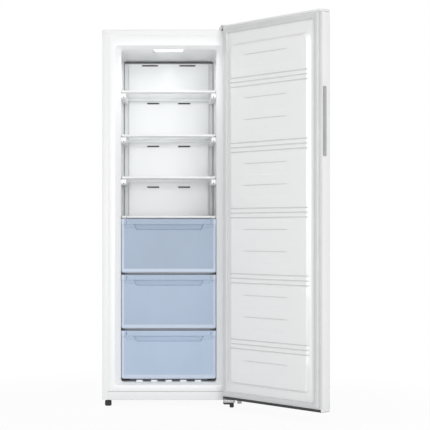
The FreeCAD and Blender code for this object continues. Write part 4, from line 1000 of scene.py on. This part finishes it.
heads = Shape()
recesses = Shape()
for across, deep in ((254, 25), (286, 25), (270, 50)):
    for way, face in ((1, case_top + 3), (-1, case_foot - 3)):
        profile = [(2.5, -20), (2.5, 0), (5, 0), (5, 1.1), (3.9, 2.1), (2.4, 2.5)]
        heads.turned("z", [(radius, face + way * level) for radius, level in profile], across, deep, 24)
        plus = [(across + x, deep + y) for x, y in cross(2.5, 0.5)]
        recesses.prism("z", plus, *sorted((face + way * 1.2, face + way * 4)))
fitted(solid("bracket_screws", heads, cutter=recesses), plated, "cabinet", "screw_steel", "hinge_screws")
left, right, front, back, low, top = sides_of("top_hinge_cover")
crown = ((0, 6, low), (0, 6, top - 2.4), (0.6, 5.6, top - 0.9), (2, 5, top - 0.2), (4, 4, top), (8, 0, top))
loops = drawn_in((left, right, front, back), crown)
cap = Shape().moulded(loops, spaced(left + 8, right - 8, 3), spaced(front + 8, back - 8, 3), placed=flat)
fitted(solid("hinge_hat", cap, wall=1.8), white_trim, "cabinet", "trim_white", "top_hinge_cover")

# ---- Feet and rollers -----------------------------------------------------------------------
# A broad screwed foot under the left corner, a narrow one inside the lower hinge pin, both fluted
# for the fingers. At the back two nylon rollers turn on axles in folded brackets.
broad = [(11.5, 0), (13.4, 0.7), (14.3, 3.6), (14.3, 21.4), (13.6, 23.5), (12.4, 24), (4.6, 24), (4, 24.6),
         (4, 67)]
narrow = [(6.4, 0), (8.4, 0.7), (9.1, 3), (9.1, 19), (8.5, 20.7), (7.6, 21), (3.4, 21), (3, 21.6), (3, 47)]
for side, across, deep, bar, edge, count, name, profile in (
    ("left", foot_across, foot_deep, (13.6, 14.9, -0.8, 0.8, 4.5, 20.5), 0.4, 20, "broad_foot", broad),
    ("right", pin_across, pin_deep, (8.5, 9.6, -0.6, 0.6, 3.5, 18), 0.3, 16, "narrow_foot", narrow),
):
    body = side + "_foot"
    flute = solid(side + "_flutes", Shape().block(*bar), edge)
    centre = (across * 0.001, deep * 0.001, 0)
    repeated(flute, circle, rubber, Count=count, Axis=(0, 0, 1), Centre=centre)
    fitted(flute, rubber, body, "foot_rubber")
    foot = Shape().turned("z", profile, across, deep)
    fitted(solid(name, foot), rubber, body, "foot_rubber", "foot_" + side)

nylon = Finish("grey_nylon", {"IOR": 1.5})
nylon_wear = nylon.noise(70, 4)
nylon_shade = nylon.blend((0.30, 0.30, 0.31), (0.44, 0.44, 0.45), nylon_wear)
nylon.surface(nylon_shade, nylon_wear * 0.25 + 0.42, nylon.noise(900, 2), 0.0001, 0.5)
for name, body in (("roller_left", "left_roller"), ("roller_right", "right_roller")):
    left, right, front, back, low, top = sides_of(name)
    outer = (top - low) / 2
    profile = [(3.05, 0), (4.6, 0), (5.4, 1.4), (9, 1.4), (9.9, 0), (11.2, 0), (outer, 0.9)]
    profile = [(radius, left + level) for radius, level in profile]
    profile += [(radius, left + right - level) for radius, level in reversed(profile)]
    wheel = Shape().turned("x", profile, (front + back) / 2, outer)
    fitted(solid(name + "_wheel", wheel, 0.3), nylon, body, "grip_grey", name)
dressed(plated, "roller_brackets")

# ---- Door liner -----------------------------------------------------------------------------
# Vacuum-formed like the inner liner: an edge sheet, and a raised field with five groups of three
# grooves and a shallow pad or two between them. It is seen from inside, with the hinge at the left.
pin = Vector((pin_across, pin_deep, 0)) * 0.001
swing = Matrix.Translation(pin) @ Matrix.Rotation(math.radians(130), 4, "Z") @ Matrix.Translation(-pin)
inner_view = swing @ Matrix.Rotation(math.pi, 4, "Z")
door_plastic = Finish("door_liner_polystyrene", {"IOR": 1.5, "Coat Weight": 0.15, "Coat Roughness": 0.12})
door_cloud = door_plastic.noise(3.5, 2, (1, 1, 0.4))
door_shade = door_plastic.blend((0.915, 0.918, 0.919), (0.935, 0.937, 0.938), door_cloud)
# The relief attribute carries painted light, not depth: above 0.5 it blends the liner towards a painted shadow
# colour, and below 0.5 towards a painted highlight.
painted_light_mark = door_plastic.node("ShaderNodeAttribute", {"attribute_name": "relief"}, {}, "Fac")
painted_shadow_colour = door_plastic.blend(door_shade, (0.66, 0.665, 0.67), door_plastic.span(painted_light_mark, 0.5, 1.0))
painted_highlight_colour = door_plastic.blend(painted_shadow_colour, (0.93, 0.932, 0.934), door_plastic.span(1 - painted_light_mark, 0.5, 1.0))
door_grain = door_plastic.noise(900, 1) * 0.25 + door_plastic.noise(18, 1.5)
door_plastic.surface(painted_highlight_colour, door_plastic.noise(60, 3) * 0.12 + 0.30, door_grain, 0.0006, 0.16)
crest = -7
groups = (290, 576.5, 861.5, 1147.5, 1433)
grooves = [middle + step for middle in groups for step in (-20, 0, 20)]
pad_rows = [195.5, 1525.5]
pad_rows += [(low + high) / 2 + step for low, high in zip(groups, groups[1:]) for step in (-47, 47)]


def door_relief(u, z, deep):
    """The field's depth, lower in the grooves and a little lower in the pads, which fade out."""
    cut = 1 - eased(min(abs(z - groove) for groove in grooves), 1.6, 3.9)
    pad = 1 - eased(min(abs(z - row) for row in pad_rows), 24.4, 26)
    fade = 1 - eased(abs(u + 14), 115, 162)
    return max(deep, crest + 3 * cut) + (1.4 * pad * fade if deep == crest else 0)


def painted_edge_shading(item):
    """Writes painted light into the relief attribute: a painted shadow on the upper edges of the pads and
    grooves and down the free-edge flank, darker towards its foot, and a painted highlight on the lower edges.
    """
    marks = item.data.attributes.new("relief", "FLOAT", "POINT")
    upright_view = inner_view.inverted()
    for vertex, mark in zip(item.data.vertices, marks.data):
        u, deep, z = (upright_view @ vertex.co) * 1000
        mark.value = 0.5
        # Painted shadow down the free-edge flank, darker towards the bottom.
        if u > 230.5 and deep < 8.7:
            mark.value += 0.28 * (1 - eased(z, 150, 1000))
        if deep < 0 and abs(u) < 232:
            fade = 1 - eased(abs(u + 14), 100, 162)
            upper = 1 - eased(min(abs(z - row - 25.2) for row in pad_rows), 0.6, 2.6)
            lower = 1 - eased(min(abs(z - row + 25.2) for row in pad_rows), 0.6, 2.6)
            above = min((z - groove for groove in grooves), key=abs)
            # Painted shadow along each pad's upper edge, painted highlight along its lower edge.
            mark.value += fade * (0.5 * upper - 0.4 * lower)
            # Painted shadow on the upper flank of each groove, painted highlight on its lower flank.
            mark.value += 0.42 * (1 - eased(abs(above - 1), 1.4, 3.2))
            mark.value -= 0.34 * (1 - eased(abs(above + 3.4), 0.4, 1.8))
    return item


field = (-240.5, 240.5, 113, 1607)
edge_sheet = (-284.5, 284.5, *sides_of("door_liner")[4:])
loops = drawn_in(edge_sheet, [(0.2, 2, 11.8), (0.3, 2, 10.4), (1, 1.5, 10.05)])
for inset, deep in (
    (-2.5, 10), (-0.6, 9.6), (0.7, 8.6), (1.6, 7.3), (8.6, -4.6), (9.5, -6), (10.8, -6.8), (12.8, crest),
    (30, crest),
):
    loops += drawn_in(field, [(inset, 30 - inset, deep)])
flanks = (-3.9, -3.2, -2.4, -1.6, 0, 1.6, 2.4, 3.2, 3.9)
stations = {143, 1577, *[groove + step for groove in grooves for step in flanks]}
stations |= {row + side * step for row in pad_rows for side in (-1, 1) for step in (22.5, 24.4, 25.2, 26, 28)}
liner = Shape().moulded(loops, spaced(-210.5, 210.5, 28), sorted(stations), door_relief)
liner = painted_edge_shading(solid("door_inner", liner, wall=1.8, turn=inner_view))
fitted(liner, door_plastic, "door", "door_liner_plastic", "door_liner", smooth=40)

# ---- Door gasket ----------------------------------------------------------------------------
# Extruded soft vinyl with a magnet strip in its bulb, pushed into the liner's edge and welded at the
# corners. A bellows behind the bulb lets it reach the case.
vinyl = Finish("gasket_vinyl", {"IOR": 1.45})
vinyl_shade = vinyl.blend((0.68, 0.684, 0.69), (0.75, 0.752, 0.756), vinyl.noise(12, 3))
vinyl.surface(vinyl_shade, vinyl.noise(90, 3) * 0.12 + 0.50, vinyl.noise(800, 2), 0.0001, 0.4)
profile = [(0.3, 9.9), (0.2, 7), (1.6, 5.4), (0.2, 3.8), (0.4, 1.4), (1.2, 0.5), (2.4, 0.3), (18.2, 0.3)]
profile += [(19.4, 0.6), (20.2, 1.6), (20.4, 3.8), (18.8, 5.4), (21.4, 6.6), (21.9, 8.4), (21.4, 9.9)]
profile = [(inset, max(8 - inset * 0.3, 2), deep) for inset, deep in profile]
seal = Shape().hoop(drawn_in(edge_sheet, profile), 5)
fitted(solid("magnet_seal", seal, turn=inner_view), vinyl, "door", "gasket_rubber", "door_gasket", smooth=50)

# ---- Door skin and trims --------------------------------------------------------------------
# A pan of white coated sheet steel, folded in at the back round the liner's edge. A white cap closes
# its top, and a black trim runs along its lower inside edge.
bush_hole = 9.1
left, right, front, back = case_left, case_right, -64, -10
low, hem_top = sides_of("door_bottom_cap")[4:]
hem_high = hem_top - 0.5
top, door_high = sides_of("door_top_cap")[4:]
loops = drawn_in(edge_sheet, [(0, 1, back - 0.9), (0, 1, back - 0.1), (-0.4, 1, back)])
loops += drawn_in((left, right, low, top), [
    (1.6, 2, back), (0.4, 3, back - 0.4), (0, 3, back - 1.6), (0, 3, front + 4.5), (0.3, 3.2, front + 2.6),
    (1.3, 3.2, front + 1), (2.8, 3.2, front + 0.2), (4.4, 3, front), (8, 0, front)])
panel = Shape().moulded(loops, spaced(left + 8, right - 8, 4), spaced(low + 8, top - 8, 8))
trough_low, trough_high = sides_of("door_handle")[4:]
openings = Shape().block(left - 5, left + 40, -43.9, -21.1, trough_low + 0.1, trough_high - 0.1, "x", 4)
openings.turned("z", [(bush_hole, low - 10), (bush_hole, low + 24)], pin_across, pin_deep)
openings.turned("z", [(bush_hole, top - 17), (bush_hole, top + 23)], pin_across, pin_deep)
panel = solid("door_pan", panel, wall=0.8, turn=swing, cutter=openings)
fitted(panel, powder, "door", "case_paint", "door_skin")
bush_bore = Shape().turned("z", [(bush_hole, low - 10), (bush_hole, top + 23)], pin_across, pin_deep)
cap = Shape().block(left, right, front, back, top + 0.5, door_high, "z", 4)
cap = solid("door_crown", cap, 1.3, 3, turn=swing, cutter=bush_bore)
fitted(cap, white_trim, "door", "trim_white", "door_top_cap")
trim = bent([(front + 1.5, low - 0.4), (back + 0.5, low - 0.4), (back + 0.5, hem_high)], 1.2, 1.4)
trim = Shape().prism("x", trim, left + 0.8, right - 0.3)
trim = solid("door_hem", trim, 0.3, turn=swing, cutter=bush_bore)
fitted(trim, black, "door", "trim_black", "door_bottom_cap")
strip = bent([(left + 12.8, back + 0.3), (left - 0.3, back + 0.3), (left - 0.3, back - 7.5)], 1.0, 1.2)
strip = Shape().prism("z", strip, hem_high + 0.5, top - 0.5)
fitted(solid("free_edge_strip", strip, 0.3, turn=swing), vinyl, "door", "gasket_rubber")

# ---- Grip recess, control panel and stop ----------------------------------------------------
# A grey moulded trough let into the door's free edge for the fingers, a touch panel of dark glass
# on the door's outside, and a steel stop under the hinge corner.
grip_grey = Finish("grip_plastic", {"IOR": 1.5})
grip_cloud = grip_grey.noise(40, 3)
grip_shade = grip_grey.blend((0.50, 0.505, 0.51), (0.58, 0.585, 0.59), grip_cloud)
grip_grey.surface(grip_shade, grip_cloud * 0.15 + 0.45, grip_grey.noise(1000, 2), 0.00015, 0.5)
loops = drawn_in((21.2, 43.8, trough_low + 0.2, trough_high - 0.2), [
    (0, 4, left + 0.6), (0, 4, left - 0.3), (0.5, 3.6, left - 0.6), (1.4, 3, left - 0.5), (2, 3, left + 0.4),
    (2.5, 3.6, left + 24), (3.4, 3.4, left + 27.5), (5.4, 2.4, left + 29.4), (7.8, 0, left + 30)])
trough = Shape().moulded(
    loops, spaced(29, 36, 2), spaced(trough_low + 8, trough_high - 8, 8),
    placed=lambda x, z, deep: (deep, -x, z),
)
trough = solid("grip_trough", trough, wall=1.6, turn=swing)
fitted(trough, grip_grey, "door", "grip_grey", "door_handle", smooth=45)

dark_glass = Finish("panel_glass", {"IOR": 1.5, "Coat Weight": 0.5, "Coat Roughness": 0.04})
film = dark_glass.noise(50, 3)
dark_shade = dark_glass.blend((0.012, 0.013, 0.015), (0.028, 0.029, 0.032), film)
dark_glass.surface(dark_shade, film * 0.12 + 0.12, film, 0.00005, 0.3)
panel_low, panel_high = sides_of("control_panel")[4:]
glass_plate = Shape().block(-60, 60, -65.2, -63.9, panel_low, panel_high, "y", 6, 6)
glass_plate = solid("touch_panel", glass_plate, 0.35, 3, turn=swing)
fitted(glass_plate, dark_glass, "door", "trim_black", "control_panel")
signal = Finish("signal_light", {"Emission Strength": 0.7})
pale_blue = signal.blend((0.55, 0.75, 0.90), (0.75, 0.90, 0.98), signal.noise(300, 1))
signal.feed(signal.shader, {"Emission Color": pale_blue})
signal.surface(pale_blue, 0.3, signal.noise(900, 1), 0.00005, 0.3)
for name, profile, steps, level, finish in (
    ("touch_keys", [(4.6, -65.1), (4.6, -65.35), (4.2, -65.5), (3.4, -65.35)], 32, 0.014, nylon),
    ("signal_dots", [(1.1, -65.1), (1.1, -65.3), (0.7, -65.4)], 16, 0.029, signal),
):
    item = solid(name, Shape().turned("y", profile, 0, 0, steps))
    item.data.transform(Matrix.Translation((-0.042, 0, panel_low * 0.001 + level)))
    repeated(item, rows, finish, Count=4, Step=(0.028, 0, 0))
    item.data.transform(swing)
    fitted(item, finish, "door", "trim_white")
hook = [(223.5, 22), (236.5, 22), (236.5, 35), (268.5, 35), (268.5, 40), (223.5, 40)]
stop = Shape().prism("y", rounded(hook, 1.5), -55, -39)
fitted(solid("door_halt", stop, 0.6, turn=swing), plated, "door", "bracket_steel", "door_stop")
